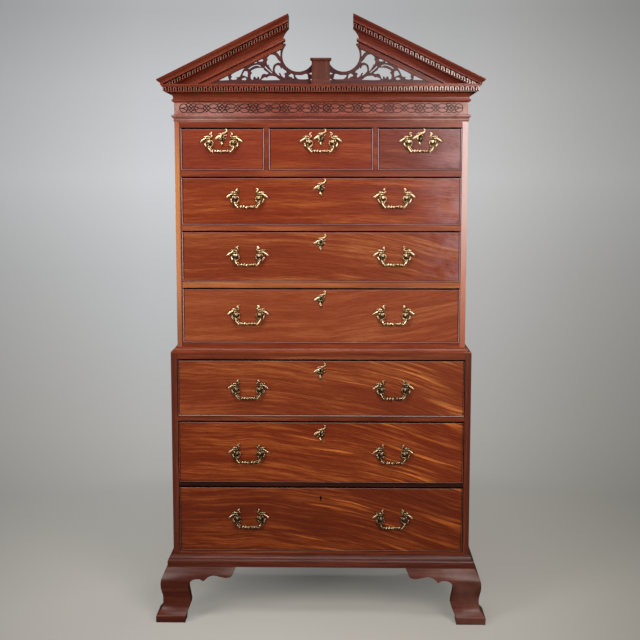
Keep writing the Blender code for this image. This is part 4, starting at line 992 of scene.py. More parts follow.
# Openings of the right side, in millimetres out from the middle and up from the cornice. A curve
# runs through the points of each.
FRET_OPENINGS_MM = (
    ((142.5, 124), (149, 120), (163.5, 113.5), (154, 111), (146, 101.5), (143, 98), (142, 112)),
    ((142.5, 79), (148, 84), (154, 91.5), (160, 100), (168, 104.5), (178, 104.5), (186, 98),
     (189.5, 91.5), (187, 88), (191, 81), (188.5, 70), (182, 68.5), (183.5, 65), (177, 56), (170.5, 46),
     (169, 57), (166.5, 66), (160, 72.5), (150, 76.5), (143, 75)),
    ((120.5, 43), (124.5, 49.5), (132, 54.5), (136, 59.5), (140, 56), (145, 65), (150, 67.5),
     (156.5, 67.5), (161.5, 60), (163, 49.5), (159, 42), (152.5, 35.5), (145, 31.5), (148.5, 40.5),
     (142.5, 39.5), (138.5, 31.5), (132, 26.5), (129.5, 24), (126, 31.5), (129.5, 38)),
    ((95, 22.5), (98, 35.5), (105.5, 39), (112, 34), (114.5, 31.5), (109, 28), (103, 26.5), (98, 21.5)),
    ((45.5, 24), (48, 36.5), (56, 38), (68.5, 34), (89, 34), (88.5, 28), (82.5, 21.5), (76, 19),
     (50.5, 19), (43, 22.5)),
    ((31.8, 43), (43, 39), (34, 35.5), (31.8, 36.5)),
    ((31.8, 21.5), (39, 17), (31.8, 16.5)),
    ((142.5, 16.5), (150, 21.5), (160, 29), (173, 31.5), (183.5, 30.5), (191, 25.5), (198.5, 26.5),
     (207.5, 16.5)),
    ((183.5, 39.5), (191, 45.5), (200, 52), (203.5, 58.5), (217.5, 59.5), (231.5, 57), (244.5, 50.5),
     (247, 45.5), (243, 42), (248, 34), (247, 21.5), (239.5, 17.5), (237, 26.5), (231.5, 28),
     (226.5, 21.5), (221.5, 29), (217.5, 25.5), (217.5, 19), (212.5, 22.5), (207.5, 34), (200, 38),
     (191, 36.5)),
    ((170.5, 40.5), (178, 48), (188.5, 57), (196, 65), (197.5, 61), (191, 54.5), (180.5, 45.5),
     (174.5, 40.5)),
    ((203.5, 87.5), (211.5, 90.5), (220, 85.5), (219, 81.5), (211.5, 80), (203.5, 82.5)),
    ((226.5, 82.5), (233, 81.5), (238, 76), (231.5, 75), (225.5, 77)),
    ((211.5, 66), (221.5, 70), (234, 68.5), (247, 63.5), (256, 56), (252, 54.5), (242, 61), (231.5, 65),
     (221.5, 66), (212.5, 62)),
    ((268.5, 59.5), (275, 57), (295.5, 48), (313.5, 38), (317, 34), (314.5, 28), (318.5, 21.5),
     (310.5, 17.5), (298, 19), (295.5, 24), (300.5, 25.5), (294, 26.5), (286.5, 28), (282.5, 34),
     (276.5, 47)),
    ((257, 39.5), (259.5, 47), (268.5, 48), (273.5, 42), (276.5, 34), (270, 31.5), (262, 28),
     (258.5, 26.5)),
    ((262, 21.5), (268.5, 25.5), (277.5, 22.5), (279, 17.5), (272.5, 16.5), (265, 16.5)),
    ((323.5, 16.5), (326, 24), (328.5, 31.5), (341, 25.5), (359, 15.8)))

fret_wood = mahogany("dark mahogany of the fret", "#200B09", "#42191A", "#6A342C",
                     shift=(0.2, 0.0, 0.2), bands=0.4, flames=0.2, roughness=0.34)


def fret_top(x):
    return rake_top(x) - RAKE_DEPTH - MOULDING_BACK


tip_z = rake_foot + FRET_TIP_HEIGHT
tip_x = TIP_X - (tip_z + RAKE_DEPTH + MOULDING_BACK - TIP_Z) / RAKE_SLOPE
dip = []
stop = math.acos((SCOOP_X - PLINTH_HALF) / SCOOP_RADIUS) - math.pi
for step in range(SCOOP_STEPS + 1):
    angle = stop + (SCOOP_HOOK - stop) * step / SCOOP_STEPS
    dip.append((SCOOP_X + SCOOP_RADIUS * math.cos(angle),
                rake_foot + SCOOP_Z + SCOOP_RADIUS * math.sin(angle)))
hook_x = RAKE_END_X - MOULDING_BACK
hook_z = rake_top(hook_x) - HOOK_TOP_SHARE * RAKE_DEPTH
outline = [(-OVERRUN, rake_foot), (-OVERRUN, dip[0][1])] + dip
outline += [(dip[-1][0] + OVERRUN, hook_z), (hook_x, hook_z), (hook_x, fret_top(hook_x)), (tip_x, tip_z),
            (tip_x, rake_foot)]
half_fret = slab(outline, UPPER_FRONT, UPPER_FRONT + FRET_THICKNESS, "y")
holes = []
for points in FRET_OPENINGS_MM:
    line = smooth_line([(x / 1000, rake_foot + z / 1000) for x, z in points + points[:1]], 4)[:-1]
    holes.append(slab(line, UPPER_FRONT - OVERRUN, UPPER_FRONT + FRET_THICKNESS + OVERRUN, "y"))
half_fret = cut(half_fret, together(holes))
half_fret = finished(half_fret, ("BEVEL", {"width": FRET_EDGE, "segments": 1, "limit_method": "ANGLE"}))
show("tympanum_fret_sawn", together([half_fret, mirrored(half_fret)]), fret_wood, "case",
     "mahogany_mouldings", "tympanum_fret")


# Plinth
# A small block of upright grain in the gap of the pediment, with a moulded cap and a plain foot. It is
# glued to the front of the fret and carries nothing in this example.

PLINTH_DEPTH = 0.0300
# Height up the plinth, and how far the face stands out from the shaft, in millimetres
PLINTH_PROFILE_MM = ((0, 3.0), (12.5, 3.0), (13.5, 2.6), (14.1, 0.6), (14.6, 0.0), (77.0, 0.0), (79.0, 0.4),
                     (81.0, 1.6), (82.2, 3.4), (83.0, 3.8), (83.4, 5.5), (89.5, 5.5))
plinth_wood = mahogany("mahogany of the plinth", "#2A0E08", "#4E2114", "#743C26",
                       turn=(0.0, QUARTER_TURN, 0.0), bands=0.5, flames=0.2, roughness=0.36)
low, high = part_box("pediment_plinth")
rings = []
for up, out in PLINTH_PROFILE_MM:
    half = PLINTH_HALF + out / 1000
    front = UPPER_FRONT - PLINTH_DEPTH - out / 1000
    z = low.z + up / 1000
    rings.append([(-half, front, z), (half, front, z), (half, high.y, z), (-half, high.y, z)])
show("pediment_plinth_shaped", solid(rings), plinth_wood, "case", "mahogany_mouldings", "pediment_plinth")


# Drawer fronts
# Each front is one board of figured mahogany edged with a rounded cock bead, and pierced for its key.
# The grain runs level on the left and sweeps down to the right, and the lower fronts are darker, partly in
# the wood and partly as a painted shade of the light falling off towards the floor.

BEAD_WIDTH = 0.0040
BEAD_PROUD = 0.0022
FRONT_THICKNESS = 0.022
BEAD_STEPS = 6
PAINTED_SHADE_WIDTH = 0.0040           # of painted shade along the bead's inner side
# How much of the bead is painted black from its outer side in, a painted shadow of the gap, how strong the
# painted highlight on its crown is, how dark the painted shade in the step beside it, and how strong the
# painted highlight on the rim of the panel, along the top, the bottom and the sides of a front
EDGE_LOOKS = {"top": (0.0042, 0.0, 0.0, 0.50), "bottom": (0.0015, 0.60, 0.60, 0.0),
              "side": (0.0007, 0.90, 0.90, 0.0)}
LOWER_EDGE_LOOKS = {"top": (0.0042, 0.0, 0.0, 0.40), "bottom": (0.0014, 0.85, 0.60, 0.0),
                    "side": (0.0028, 0.30, 0.90, 0.0)}
LOWEST_EDGE_LOOKS = {**LOWER_EDGE_LOOKS, "bottom": (0.0022, 0.35, 0.60, 0.0)}
KEYHOLE_RADIUS = 0.0035
KEYHOLE_LENGTH = 0.0160
KEYHOLE_SLOT = 0.0052
KEYHOLE_DEPTH = 0.015
KEYHOLE_STEPS = 14
GRAIN_STEP = 0.37            # in the log, from one front to the next

# Drawer: place of the keyhole up the front, the three colours of its wood, how much the grain bends
# down and from where, its bands, its flames and where they begin
DRAWERS = {
    "drawer_short_left": (0.757, ("#521B0C", "#7A2F1A", "#9E5026"), 0.05, -0.30, 0.22, 0.25, -0.60),
    "drawer_short_middle": (0.757, ("#4E190A", "#7A2D14", "#AE602C"), 0.12, -0.10, 0.25, 0.50, -0.20),
    "drawer_short_right": (0.757, ("#40120A", "#682618", "#A05A3C"), 0.25, 0.20, 0.25, 0.60, 0.10),
    "drawer_long_1": (0.770, ("#4E1708", "#7A2E13", "#BC6C32"), 0.06, -0.10, 0.30, 0.80, -0.25),
    "drawer_long_2": (0.769, ("#4E1C0C", "#7C341A", "#C07C42"), 0.20, -0.15, 0.28, 0.75, -0.20),
    "drawer_long_3": (0.793, ("#572412", "#873F22", "#B8744A"), -0.22, -0.05, 0.28, 0.50, -0.20),
    "drawer_long_4": (0.792, ("#4A190A", "#783319", "#CC7E42"), 0.27, -0.22, 0.24, 0.85, -0.20),
    "drawer_long_5": (0.796, ("#441304", "#702A10", "#CC7434"), 0.25, -0.26, 0.26, 0.90, -0.30),
    "drawer_long_6": (0.822, ("#3E1204", "#62240D", "#BE662C"), 0.25, -0.26, 0.24, 0.85, -0.30)}
# Where a painted sheen, the right lamp's reflection, lies cloudy on the upper fronts towards the right, and
# its colour there
PAINTED_SHEEN_RIGHT = (0.30, 0.56, 0.58, "#A07C82", 0.0, False)


def key_cutter(x, z, plane):
    """A round hole over a straight slot, as a cutter."""
    half = KEYHOLE_SLOT / 2
    turn = math.asin(half / KEYHOLE_RADIUS)
    points = []
    for step in range(KEYHOLE_STEPS + 1):
        angle = -math.pi / 2 + turn + (math.tau - 2 * turn) * step / KEYHOLE_STEPS
        points.append((x + KEYHOLE_RADIUS * math.cos(angle), z + KEYHOLE_RADIUS * math.sin(angle)))
    bottom = z + KEYHOLE_RADIUS - KEYHOLE_LENGTH
    points += [(x - half, bottom), (x + half, bottom)]
    return slab(points, plane - 3 * OVERRUN, plane + KEYHOLE_DEPTH, "y")


def front_mesh(low, high, plane):
    """The front with its rounded bead, from the back to the sunk face."""
    steps = [(0.0, plane + FRONT_THICKNESS), (0.0, plane - BEAD_PROUD / 3)]
    for step in range(1, BEAD_STEPS):
        angle = math.pi * step / BEAD_STEPS
        steps.append((BEAD_WIDTH / 2 * (1 - math.cos(angle)),
                      plane - BEAD_PROUD / 3 - 2 * BEAD_PROUD / 3 * math.sin(angle)))
    steps += [(BEAD_WIDTH, plane - BEAD_PROUD / 3), (BEAD_WIDTH, plane), (BEAD_WIDTH + PAINTED_SHADE_WIDTH, plane)]
    rings = []
    for inset, y in steps:
        rings.append([(low.x + inset, y, low.z + inset), (high.x - inset, y, low.z + inset),
                      (high.x - inset, y, high.z - inset), (low.x + inset, y, high.z - inset)])
    return solid(rings)


def mark_edges(mesh, low, high, plane, looks):
    """Writes painted shade on the edges: a painted shadow over the bead and in the step beside it, and black
    inside the keyhole; and a painted highlight on the bead's crown and the panel's rim."""
    painted_shade = mesh.attributes.new("painted_shade", "FLOAT", "CORNER").data
    painted_highlight = mesh.attributes.new("painted_highlight", "FLOAT", "CORNER").data
    for face in mesh.polygons:
        middle = face.center
        upright = min(middle.z - low.z, high.z - middle.z)
        side = "side" if min(middle.x - low.x, high.x - middle.x) < upright else (
            "top" if 2 * middle.z > low.z + high.z else "bottom")
        black, light, step, rim = looks[side]
        for corner in face.loop_indices:
            spot = mesh.vertices[mesh.loops[corner].vertex_index].co
            inset = min(spot.x - low.x, high.x - spot.x, spot.z - low.z, high.z - spot.z)
            crown = (plane - BEAD_PROUD / 3 - spot.y) / (2 * BEAD_PROUD / 3)
            in_line = inset < black and spot.y < plane - MOULDING_BACK
            in_hole = inset > BEAD_WIDTH + PAINTED_SHADE_WIDTH and spot.y > plane + OVERRUN
            in_step = abs(inset - BEAD_WIDTH) < MOULDING_BACK
            painted_shade[corner].value = 1.0 if in_line or in_hole else step if in_step else 0.0
            painted_highlight[corner].value = rim if in_step and face.normal.y < -0.9 else light * max(crown, 0.0)


keyholes = {}
for index, (drawer, values) in enumerate(DRAWERS.items()):
    key_share, colours, bend, bend_from, bands, flames, flames_from = values
    low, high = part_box(drawer + "_front")
    plane = high.y - FRONT_THICKNESS
    key_x = (low.x + high.x) / 2
    key_z = low.z + key_share * (high.z - low.z)
    keyholes[drawer] = (key_x, key_z, plane)
    lower = drawer[-1] in "456"
    # Each front's bead gets a painted shadow and a painted highlight of its bead_highlight colour
    front_wood = mahogany("figured mahogany of " + drawer, *colours, shift=(0.0, 0.0, GRAIN_STEP * index),
                          bend=bend, bend_from=bend_from, bands=bands, flames=flames,
                          flames_from=flames_from, roughness=0.28, bead_highlight="#BCA69C" if lower else "#A58388",
                          painted_sheen=None if drawer[-1] in "3456" else PAINTED_SHEEN_RIGHT)
    mesh = cut(front_mesh(low, high, plane), key_cutter(key_x, key_z + KEYHOLE_LENGTH / 4, plane))
    looks = LOWEST_EDGE_LOOKS if drawer[-1] in "56" else LOWER_EDGE_LOOKS if lower else EDGE_LOOKS
    mark_edges(mesh, low, high, plane, looks)
    show(drawer + "_front_beaded", mesh, front_wood, drawer, "mahogany_fronts", drawer + "_front")
    dress((drawer + "_box",), oak_wood)


# Handles
# Cast gilt brass: each has two leafy rococo mounts pinned to the front, and a bail that swings in their
# eyes. The gilding is pale and bright on the high leaves, partly as a painted highlight, and dark in the
# hollows, partly with dirt and partly as painted shade.

POST_SPACING = 0.0825
POST_RADIUS = 0.0045
POST_PROJECTION = 0.0185
CAST_GRAIN = 0.0006          # size of the cells that fuse a casting's leaves into one skin
CAST_REACH = 0.06            # further than any casting reaches from its middle
CAST_CREASE = 60             # degrees, above which an edge of a casting is sharp
LEAF_TIP = 0.0003
LEAF_RUFFLE = 0.16           # how much a leaf swells and narrows along its edge, against its width
RUFFLE_TURN = 1.5            # radians of that wave from one ring of the leaf to the next


def leaf(points, sides=10, flat=0.55):
    """A tapering leaf with a ruffled edge. Each point is x, z, how far out its middle lies, and its
    half width, in millimetres."""
    line = smooth_line([tuple(value / 1000 for value in point) for point in points], 4)
    rings = []
    for index, (x, z, out, half) in enumerate(line):
        before, after = line[max(index - 1, 0)], line[min(index + 1, len(line) - 1)]
        along = Vector((after[0] - before[0], after[1] - before[1])).normalized()
        half = max(half, LEAF_TIP) * (1 + LEAF_RUFFLE * math.cos(RUFFLE_TURN * index))
        ring = []
        for side in range(sides):
            angle = math.tau * side / sides
            across = half * math.cos(angle)
            ring.append((x - along.y * across, -out - flat * half * math.sin(angle), z + along.x * across))
        rings.append(ring)
    return solid(rings)


# Leaves of one mount, in millimetres from the post's middle: outwards, up, off the front, half width
MOUNT_LEAVES_MM = (
    ((-3, 19, 1.0, 4), (3, 12, 1.6, 8.5), (4, 2, 1.6, 9.5), (2, -8, 1.4, 7.5), (1, -14, 0.8, 3)),
    ((-9.6, 32.6, 6.0, 1.8), (-5.0, 30.0, 7.0, 2.7), (-2.0, 26.6, 7.2, 2.8), (-5.0, 23.2, 6.8, 2.6),
     (-8.2, 20.0, 6.4, 2.6), (-5.4, 16.6, 6.0, 2.6), (1, 15.0, 5.6, 2.4)),
    ((-5, 16.0, 5.0, 1.8), (3, 17.2, 6.4, 2.8), (11, 18.0, 6.6, 3.0), (18, 18.0, 5.8, 2.3),
     (24.6, 17.8, 4.4, 0.8)),
    ((-8, 8.8, 4.4, 1.4), (0, 10.0, 5.8, 2.3), (8, 10.2, 6.2, 2.6), (14, 9.6, 5.4, 2.2), (19, 8.2, 4.4, 0.9)),
    ((11, 13.6, 6.2, 1.6), (16, 11.6, 7.8, 2.4), (22, 7.6, 8.8, 3.2), (28.4, 2.2, 8.8, 3.7),
     (33.4, -2.0, 7.2, 2.7)),
    ((3.0, 3.4, 4.8, 1.4), (-2.6, 4.0, 5.8, 1.9), (-8.0, 1.4, 6.4, 2.1), (-11.0, -4.0, 6.2, 2.2),
     (-10.6, -10.4, 6.0, 2.2), (-6.4, -15.4, 6.4, 2.3), (-0.8, -16.4, 6.2, 2.1), (3.4, -13.6, 5.2, 1.7),
     (3.8, -10.4, 4.2, 1.0)),
    ((6.5, 6.8, 5.2, 1.4), (10.2, 2.0, 6.4, 2.2), (9.8, -3.6, 6.0, 2.0), (6.4, -8.6, 4.8, 1.1)),
    ((15, -1.0, 4.8, 1.4), (16.6, -7.4, 6.6, 2.6), (13.6, -14.6, 7.0, 3.0), (8.6, -20.8, 6.2, 2.5),
     (5.4, -24.2, 4.8, 1.4)))


def cast(meshes):
    """Overlapping leaves fused into one skin and softened, as a casting is."""
    return finished(together(meshes), ("REMESH", {"mode": "VOXEL", "voxel_size": CAST_GRAIN}),
                    ("SMOOTH", {"factor": 0.5, "iterations": 1}))


def flat_backed(mesh):
    """The casting cut flat where it lies on the drawer front."""
    return cut(mesh, board((-CAST_REACH, -MOULDING_BACK, -CAST_REACH), (CAST_REACH, CAST_REACH, CAST_REACH)))


def rub_and_highlight(mesh, dull, bright):
    """Writes how brightly each point is rubbed and lit, real polish and a painted highlight together: more,
    the further it stands out to the front.
    """
    polish_and_highlight = mesh.attributes.new("polish_and_highlight", "FLOAT", "POINT")
    for index, vert in enumerate(mesh.vertices):
        polish_and_highlight.data[index].value = (-vert.co.y - dull) / (bright - dull)
    return mesh


def rod(start, end, radius, sides=16):
    """A plain round pin between two points."""
    axis = (Vector(end) - Vector(start)).normalized()
    across = axis.orthogonal().normalized()
    other = axis.cross(across)
    return solid([[Vector(point) + radius * (across * math.cos(math.tau * side / sides)
                                             + other * math.sin(math.tau * side / sides))
                   for side in range(sides)] for point in (start, end)])


EYE_HOLE = 0.0027            # radius of the hole in a post, in which the bail turns
EYE_START = 0.0026           # how far past the post's middle the hole runs
BAIL_AXIS_OUT = POST_PROJECTION - POST_RADIUS
MOUNT_DULL = 0.0045          # off the front, below which a mount is dark
MOUNT_BRIGHT = 0.0086
mount_parts = [leaf(points) for points in MOUNT_LEAVES_MM]
mount_parts.append(rod((0, 0.0, 0), (0, -POST_PROJECTION, 0), POST_RADIUS))
mount = cut(flat_backed(cast(mount_parts)),
            rod((-EYE_START, -BAIL_AXIS_OUT, 0), (POST_RADIUS + OVERRUN, -BAIL_AXIS_OUT, 0), EYE_HOLE))
mount = rub_and_highlight(mount, MOUNT_DULL, MOUNT_BRIGHT)

# Gilt brass, cast and chased: pale gold that is glossy on the high parts. The hollows are darkened partly
# by dirt and old wax and partly as painted shade, found from how far the skin turns inwards and from the
# polish_and_highlight attribute, which also paints a highlight on the parts that stand out most; dirt and
# old wax mottle the rest.
MOTTLES_PER_METRE = 260.0
TURN_WEIGHT = 4.0            # of each of these in how bright the brass is
POLISH_AND_HIGHLIGHT_WEIGHT = 0.8
MOTTLE_WEIGHT = 1.9
BRASS_SHIFT = 0.87           # off their sum


def gilt(name, bright, worn, hollow, roughness):
    material, tree, output = new_material(name)
    turn = add_node(tree, "ShaderNodeNewGeometry").outputs["Pointiness"]
    polish_and_highlight = add_node(tree, "ShaderNodeAttribute", {"attribute_name": "polish_and_highlight"}).outputs["Fac"]
    cloud = noise(tree, here(tree), MOTTLES_PER_METRE, 3.0)
    level = maths(tree, "MULTIPLY_ADD", turn, TURN_WEIGHT, -TURN_WEIGHT / 2)
    level = maths(tree, "MULTIPLY_ADD", polish_and_highlight, POLISH_AND_HIGHLIGHT_WEIGHT, level)
    level = maths(tree, "MULTIPLY_ADD", cloud, MOTTLE_WEIGHT, level)
    level = maths(tree, "SUBTRACT", level, BRASS_SHIFT)
    surface(tree, output, Base_Color=ramp(tree, level, (0.28, hollow), (0.60, worn), (0.92, bright)),
            Roughness=ranged(tree, level, 0.2, 0.8, roughness + 0.25, roughness),
            Metallic=ranged(tree, level, 0.15, 0.5, 0.3, 1.0), Normal=bump(tree, cloud, 0.8, 0.0012))
    return material


gilt_brass = gilt("gilt brass of the upper handles", "#FAE0B6", "#8A6838", "#100905", 0.32)
dull_brass = gilt("darker brass of the lower handles", "#CCB48E", "#4C3A26", "#0C0805", 0.38)

# The bail's middle line from a post to the middle, in millimetres: across from the middle, down from
# the pin, off the pin's plane and away from the drawer, half thickness
BAIL_LINE_MM = (
    (39.0, 0, 0, 2.0), (42.0, 0, 0, 2.0), (45.4, 0.4, 0, 2.1), (47.2, 3.4, 0.2, 2.4), (47.0, 8.5, 0.3, 2.6),
    (45.4, 14.0, 0.3, 2.7), (42.6, 20.0, 0.3, 2.8), (39.0, 25.8, 0.3, 2.7), (34.6, 30.4, 0.2, 2.4),
    (30.2, 33.0, 0.8, 4.2), (26.0, 33.6, 1.0, 2.9), (21.6, 33.2, 1.6, 5.0), (17.0, 33.6, 1.2, 3.0),
    (12.4, 33.2, 1.8, 5.2), (7.8, 33.6, 1.4, 3.0), (4.4, 33.2, 1.6, 4.0), (0, 33.8, 2.4, 5.6))
# Leaves on each half of the bail, measured in the same way
BAIL_LEAVES_MM = (
    ((46.8, 9.0, 1.8, 1.2), (45.0, 17.5, 3.0, 2.0), (40.6, 27.0, 3.8, 2.7), (34.8, 34.2, 3.6, 2.7),
     (28.6, 39.6, 2.2, 1.5)),
    ((43.6, 10.0, 2.0, 1.0), (39.0, 19.5, 2.8, 1.6), (32.6, 26.8, 2.6, 1.6), (25.5, 30.4, 1.8, 1.0)),
    ((49.0, 12.5, 1.4, 1.0), (51.2, 17.5, 2.0, 1.7), (48.6, 22.6, 1.8, 1.4), (44.2, 26.4, 1.4, 0.9)),
    ((4.6, 28.8, 1.4, 0.9), (2.0, 31.6, 4.0, 1.9), (0.2, 37.0, 4.0, 2.5), (-2.0, 40.6, 2.0, 1.1)))
BAIL_DULL = 0.0016           # off the pin's plane, below which a bail is dark
BAIL_BRIGHT = 0.0050
BAIL_SIDES = 18
BAR_HALF = 0.030             # half the length of the beaded bar
ARM_TOP = 0.005              # below the pin, where the grooved arm begins
BAIL_BLEND = 0.004           # over which one part of the bail turns into the next
BEAD_TWIST = 0.22            # depth of the beads' spiral, against their half thickness
TWIST_PER_METRE = 700        # radians
ARM_GROOVE = 0.35            # depth of the arm's groove, against its half thickness


def bail_mesh():
    """A bail round the pin's axis at the origin: two leafy arms and a bar of turned beads."""
    half_line = [tuple(value / 1000 for value in point) for point in BAIL_LINE_MM]
    points = half_line + [(-x, down, out, half) for x, down, out, half in half_line[-2::-1]]
    line = smooth_line(points, 6)
    rings = []
    for index, (x, down, out, half) in enumerate(line):
        before, after = line[max(index - 1, 0)], line[min(index + 1, len(line) - 1)]
        along = Vector((after[0] - before[0], -(after[1] - before[1]))).normalized()
        in_bar = min(max((BAR_HALF - abs(x)) / BAIL_BLEND, 0.0), 1.0)
        in_arm = min(max((down - ARM_TOP) / BAIL_BLEND, 0.0), 1.0) * (1 - in_bar)
        ring = []
        for side in range(BAIL_SIDES):
            angle = math.tau * side / BAIL_SIDES
            twist = BEAD_TWIST * in_bar * math.cos(3 * angle + TWIST_PER_METRE * x)
            groove = ARM_GROOVE * in_arm * max(math.sin(angle), 0.0) ** 8
            radius = half * (1 + twist - groove)
            across = radius * math.cos(angle)
            ring.append((x - along.y * across, -out - radius * math.sin(angle), -down + along.x * across))
        rings.append(ring)
    parts = [solid(rings)]
    for points in BAIL_LEAVES_MM:
        for side in (-1, 1):
            parts.append(leaf([(side * x, -down, out, half) for x, down, out, half in points]))
    return rub_and_highlight(cast(parts), BAIL_DULL, BAIL_BRIGHT)


bail = bail_mesh()
for joint in frame["joints"]:
    if joint["type"] != "hinge":
        continue
    x, y, z = joint["pos_m"]
    name = joint["child"]
    lower = name[:11] in ("bail_long_4", "bail_long_5", "bail_long_6")
    metal = dull_brass if lower else gilt_brass
    show(name + "_cast", placed(bail, x, y, z), metal, name, "brass", name, crease=CAST_CREASE)
    for side, way, mesh in ((-1, "left", mirrored(mount)), (1, "right", mount)):
        mesh = placed(mesh, x + side * POST_SPACING / 2, y + BAIL_AXIS_OUT, z)
        show("%s_mount_%s" % (name, way), mesh, metal, joint["parent"], "brass", crease=CAST_CREASE)


# Keyhole plates
# Small cast plates of the same gilt brass, a shell with a curl at the top right, a leaf at the lower
# left and a drop, pierced for the key. The lowest drawer has lost its plate.

# Leaves of a plate, in millimetres from its middle: across, up, off the front, half width
PLATE_LEAVES_MM = (
    ((0, 12, 0.8, 5), (0, 4, 1.2, 8), (0, -4, 1.2, 8), (0, -12, 0.8, 5)),
    ((-5, -9, 0.8, 3.4), (-7.4, -2, 1, 4.2), (-5, 6, 1.2, 4.4), (1, 10, 1.2, 4), (6.6, 5.5, 1.2, 4),
     (7.8, -2, 1, 3.8), (5, -9.5, 0.8, 3.6), (0, -13, 0.7, 3.4)),
    ((-6.5, -8, 3, 1.4), (-8, -2, 4.2, 2.2), (-6.6, 6, 4.4, 2.4), (-1, 12.5, 4.4, 2.1),
     (6.6, 10, 3.4, 1.8), (9.6, 3, 3, 1.7), (9.4, -4, 2.6, 1.5), (6.6, -10, 2.2, 1.2)),
    ((-14, 13.5, 2.4, 1.5), (-6, 16, 4, 2.6), (3, 17, 4.6, 2.9), (10, 18.6, 4.6, 2.7),
     (15, 22.4, 4.6, 2.5), (16.6, 27.6, 4.6, 2.5), (13.6, 31.4, 4, 2.2), (9.4, 31, 3.2, 1.2)),
    ((-3, 8, 3.2, 2.8), (-9.6, 7.2, 5, 3.7), (-15.6, 3.4, 5.4, 4.1), (-21.2, -0.6, 5.2, 3.7),
     (-25, -3.6, 4, 2.4)),
    ((-6, -8, 2, 1.8), (-9.6, -10.5, 2.8, 2.2), (-13.4, -9.6, 2.2, 1)),
    ((-1.6, -10, 2, 2.4), (-2.2, -15, 3.6, 3.2), (-0.8, -20, 4.2, 3.1), (0.4, -25, 3.6, 2.5),
     (0.8, -29, 2.2, 1.1)),
    ((9, -3, 2.4, 1.7), (13, 0, 3.2, 2.1), (16.6, 4, 2.4, 1)),
    ((9, 6, 2.4, 1.7), (13.4, 10, 3.2, 2.1), (17.4, 12.6, 2.4, 1)))
PLATE_DULL = 0.0020          # off the front, below which a plate is dark
PLATE_BRIGHT = 0.0056
plate = flat_backed(cast([leaf(points, flat=0.42) for points in PLATE_LEAVES_MM]))
plate = cut(plate, key_cutter(0.0, KEYHOLE_LENGTH / 4, 0.0))
plate = rub_and_highlight(plate, PLATE_DULL, PLATE_BRIGHT)
for drawer, (x, z, plane) in keyholes.items():
    if drawer == "drawer_long_6":
        continue
    show(drawer.replace("drawer", "keyhole_plate"), placed(plate, x, plane, z), gilt_brass, drawer, "brass",
         crease=CAST_CREASE)


# Set
# A wide pale floor that fades into a plain grey backdrop, soft lamps, and the camera at eye height.

FLOOR_RADIUS = 60.0
FLOOR_SIDES = 96
FADE_MIDDLE = (0.0, 0.25, 0.0)   # under the back of the case
FADE_START = 0.05                # metres from there, where the floor begins to fade into the backdrop
FADE_END = 1.9
FADE_LEAST = 0.17                # share of the backdrop's tone under the case
CAMERA_PLACE = (0.086, -4.45025, 1.6165)
CAMERA_TILT = 83.11          # degrees up from straight down
CAMERA_TURN = 1.21           # degrees to the left
LENS_MM = 66.44
GLOW_SPAN = 0.30             # of directions to the left and right, that the glow on the wall covers
WALL_LOW = -0.38             # lowest and highest directions of the wall's shading
WALL_HIGH = 0.15


def backdrop_tone(tree, direction):
    """Tone of the wall: a soft glow behind the case that falls off to the sides, above and below."""
    parts = split(tree, direction)
    side = ranged(tree, parts["X"], -GLOW_SPAN, GLOW_SPAN)
    side = ramp(tree, side, (0.0, "#B2B3B4"), (0.10, "#C1C2C3"), (0.225, "#D0D2D5"), (0.40, "#D8DADC"),
                (0.70, "#C3C3C3"), (0.83, "#ADADAB"), (1.0, "#90908F"))
    level = ranged(tree, parts["Z"], WALL_LOW, WALL_HIGH)
    level = ramp(tree, level, (0.0, "#DAD6CE"), (0.077, "#DAD7CF"), (0.166, "#D2CFC7"), (0.233, "#CAC7C0"),
                 (0.319, "#D6D3CD"), (0.428, "#DEDCD9"), (0.57, "#EAE9E8"), (0.717, "#FDFDFD"),
                 (0.853, "#F0F0F0"), (0.968, "#D9D9D9"))
    return blend(tree, 1.0, side, level, "MULTIPLY")


def in_view(tree):
    """One where the camera looks, and zero for light on its way between surfaces."""
    rays = add_node(tree, "ShaderNodeLightPath").outputs
    return maths(tree, "MAXIMUM", rays["Is Camera Ray"], rays["Is Transmission Ray"])


shape = bmesh.new()
rim = []
for index in range(FLOOR_SIDES):
    angle = math.tau * index / FLOOR_SIDES
    rim.append(shape.verts.new((FLOOR_RADIUS * math.cos(angle), FLOOR_RADIUS * math.sin(angle), 0.0)))
shape.faces.new(rim)
mesh = bpy.data.meshes.new("floor")
shape.to_mesh(mesh)
shape.free()
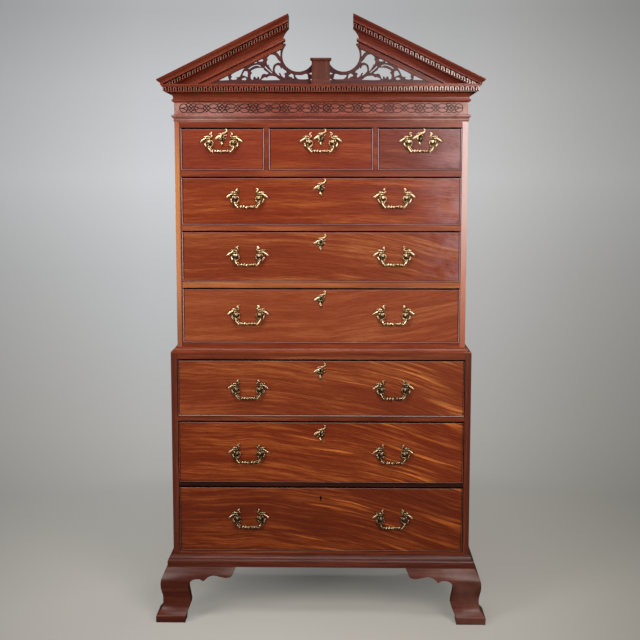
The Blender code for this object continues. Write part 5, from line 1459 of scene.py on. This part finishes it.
# Matt paper that throws little light back on the wood, and takes the wall's tone further off
material, tree, output = new_material("pale floor paper")
place = here(tree)
reach = add_node(tree, "ShaderNodeVectorMath", {"operation": "DISTANCE"}, {0: place, 1: FADE_MIDDLE})
fade = ranged(tree, reach.outputs["Value"], FADE_START, FADE_END, FADE_LEAST)
shown = in_view(tree)
paper = blend(tree, shown, linear("#5A5855"), linear("#C4C1B8"))
matt = add_node(tree, "ShaderNodeBsdfDiffuse", inputs={"Color": paper})
away = add_node(tree, "ShaderNodeVectorMath", {"operation": "SUBTRACT"}, {0: place, 1: CAMERA_PLACE})
away = add_node(tree, "ShaderNodeVectorMath", {"operation": "NORMALIZE"}, {0: away.outputs["Vector"]})
far = add_node(tree, "ShaderNodeEmission", inputs={"Color": backdrop_tone(tree, away.outputs["Vector"])})
mixed = add_node(tree, "ShaderNodeMixShader", inputs={
    0: maths(tree, "MULTIPLY", fade, shown), 1: matt.outputs["BSDF"], 2: far.outputs["Emission"]})
tree.links.new(mixed.outputs["Shader"], output.inputs["Surface"])
mesh.materials.append(material)
floor = bpy.data.objects.new("floor", mesh)
bpy.context.collection.objects.link(floor)

# Lamps: place, where it points, width, height, watts, colour
LAMPS = (
    ("lamp_right", (1.55, -3.4, 2.35), (0.2, 0.0, 1.3), 1.4, 1.7, 90.0, "#FFF6F0"),
    ("lamp_left", (-2.6, -3.0, 2.3), (-0.2, 0.0, 1.1), 1.4, 1.9, 95.0, "#FFF8F2"),
    ("lamp_above", (0.0, -2.0, 4.2), (0.0, 0.0, 1.2), 2.4, 1.2, 55.0, "#FFFFFF"),
    ("lamp_behind", (0.4, 1.8, 4.0), (0.0, 0.3, 1.2), 0.9, 0.5, 24.0, "#FFFFFF"))
for name, place, aim, width, height, watts, code in LAMPS:
    light = bpy.data.lights.new(name, "AREA")
    light.shape = "RECTANGLE"
    light.size = width
    light.size_y = height
    light.energy = watts
    light.color = linear(code)[:3]
    lamp = bpy.data.objects.new(name, light)
    lamp.location = place
    lamp.rotation_euler = (Vector(aim) - Vector(place)).to_track_quat("-Z", "Y").to_euler()
    bpy.context.collection.objects.link(lamp)

world = bpy.data.worlds.new("studio air")
world.use_nodes = True
tree = world.node_tree
background = tree.nodes["Background"]
sky = add_node(tree, "ShaderNodeTexCoord").outputs["Generated"]
air = blend(tree, in_view(tree), linear("#4E4B49"), backdrop_tone(tree, sky))
tree.links.new(air, background.inputs["Color"])
scene = bpy.context.scene
scene.world = world
scene.view_settings.view_transform = "Standard"

view = bpy.data.cameras.new("camera")
view.lens = LENS_MM
view.sensor_width = 36.0
camera = bpy.data.objects.new("camera", view)
camera.location = CAMERA_PLACE
camera.rotation_euler = (math.radians(CAMERA_TILT), 0.0, math.radians(CAMERA_TURN))
bpy.context.collection.objects.link(camera)
scene.camera = camera
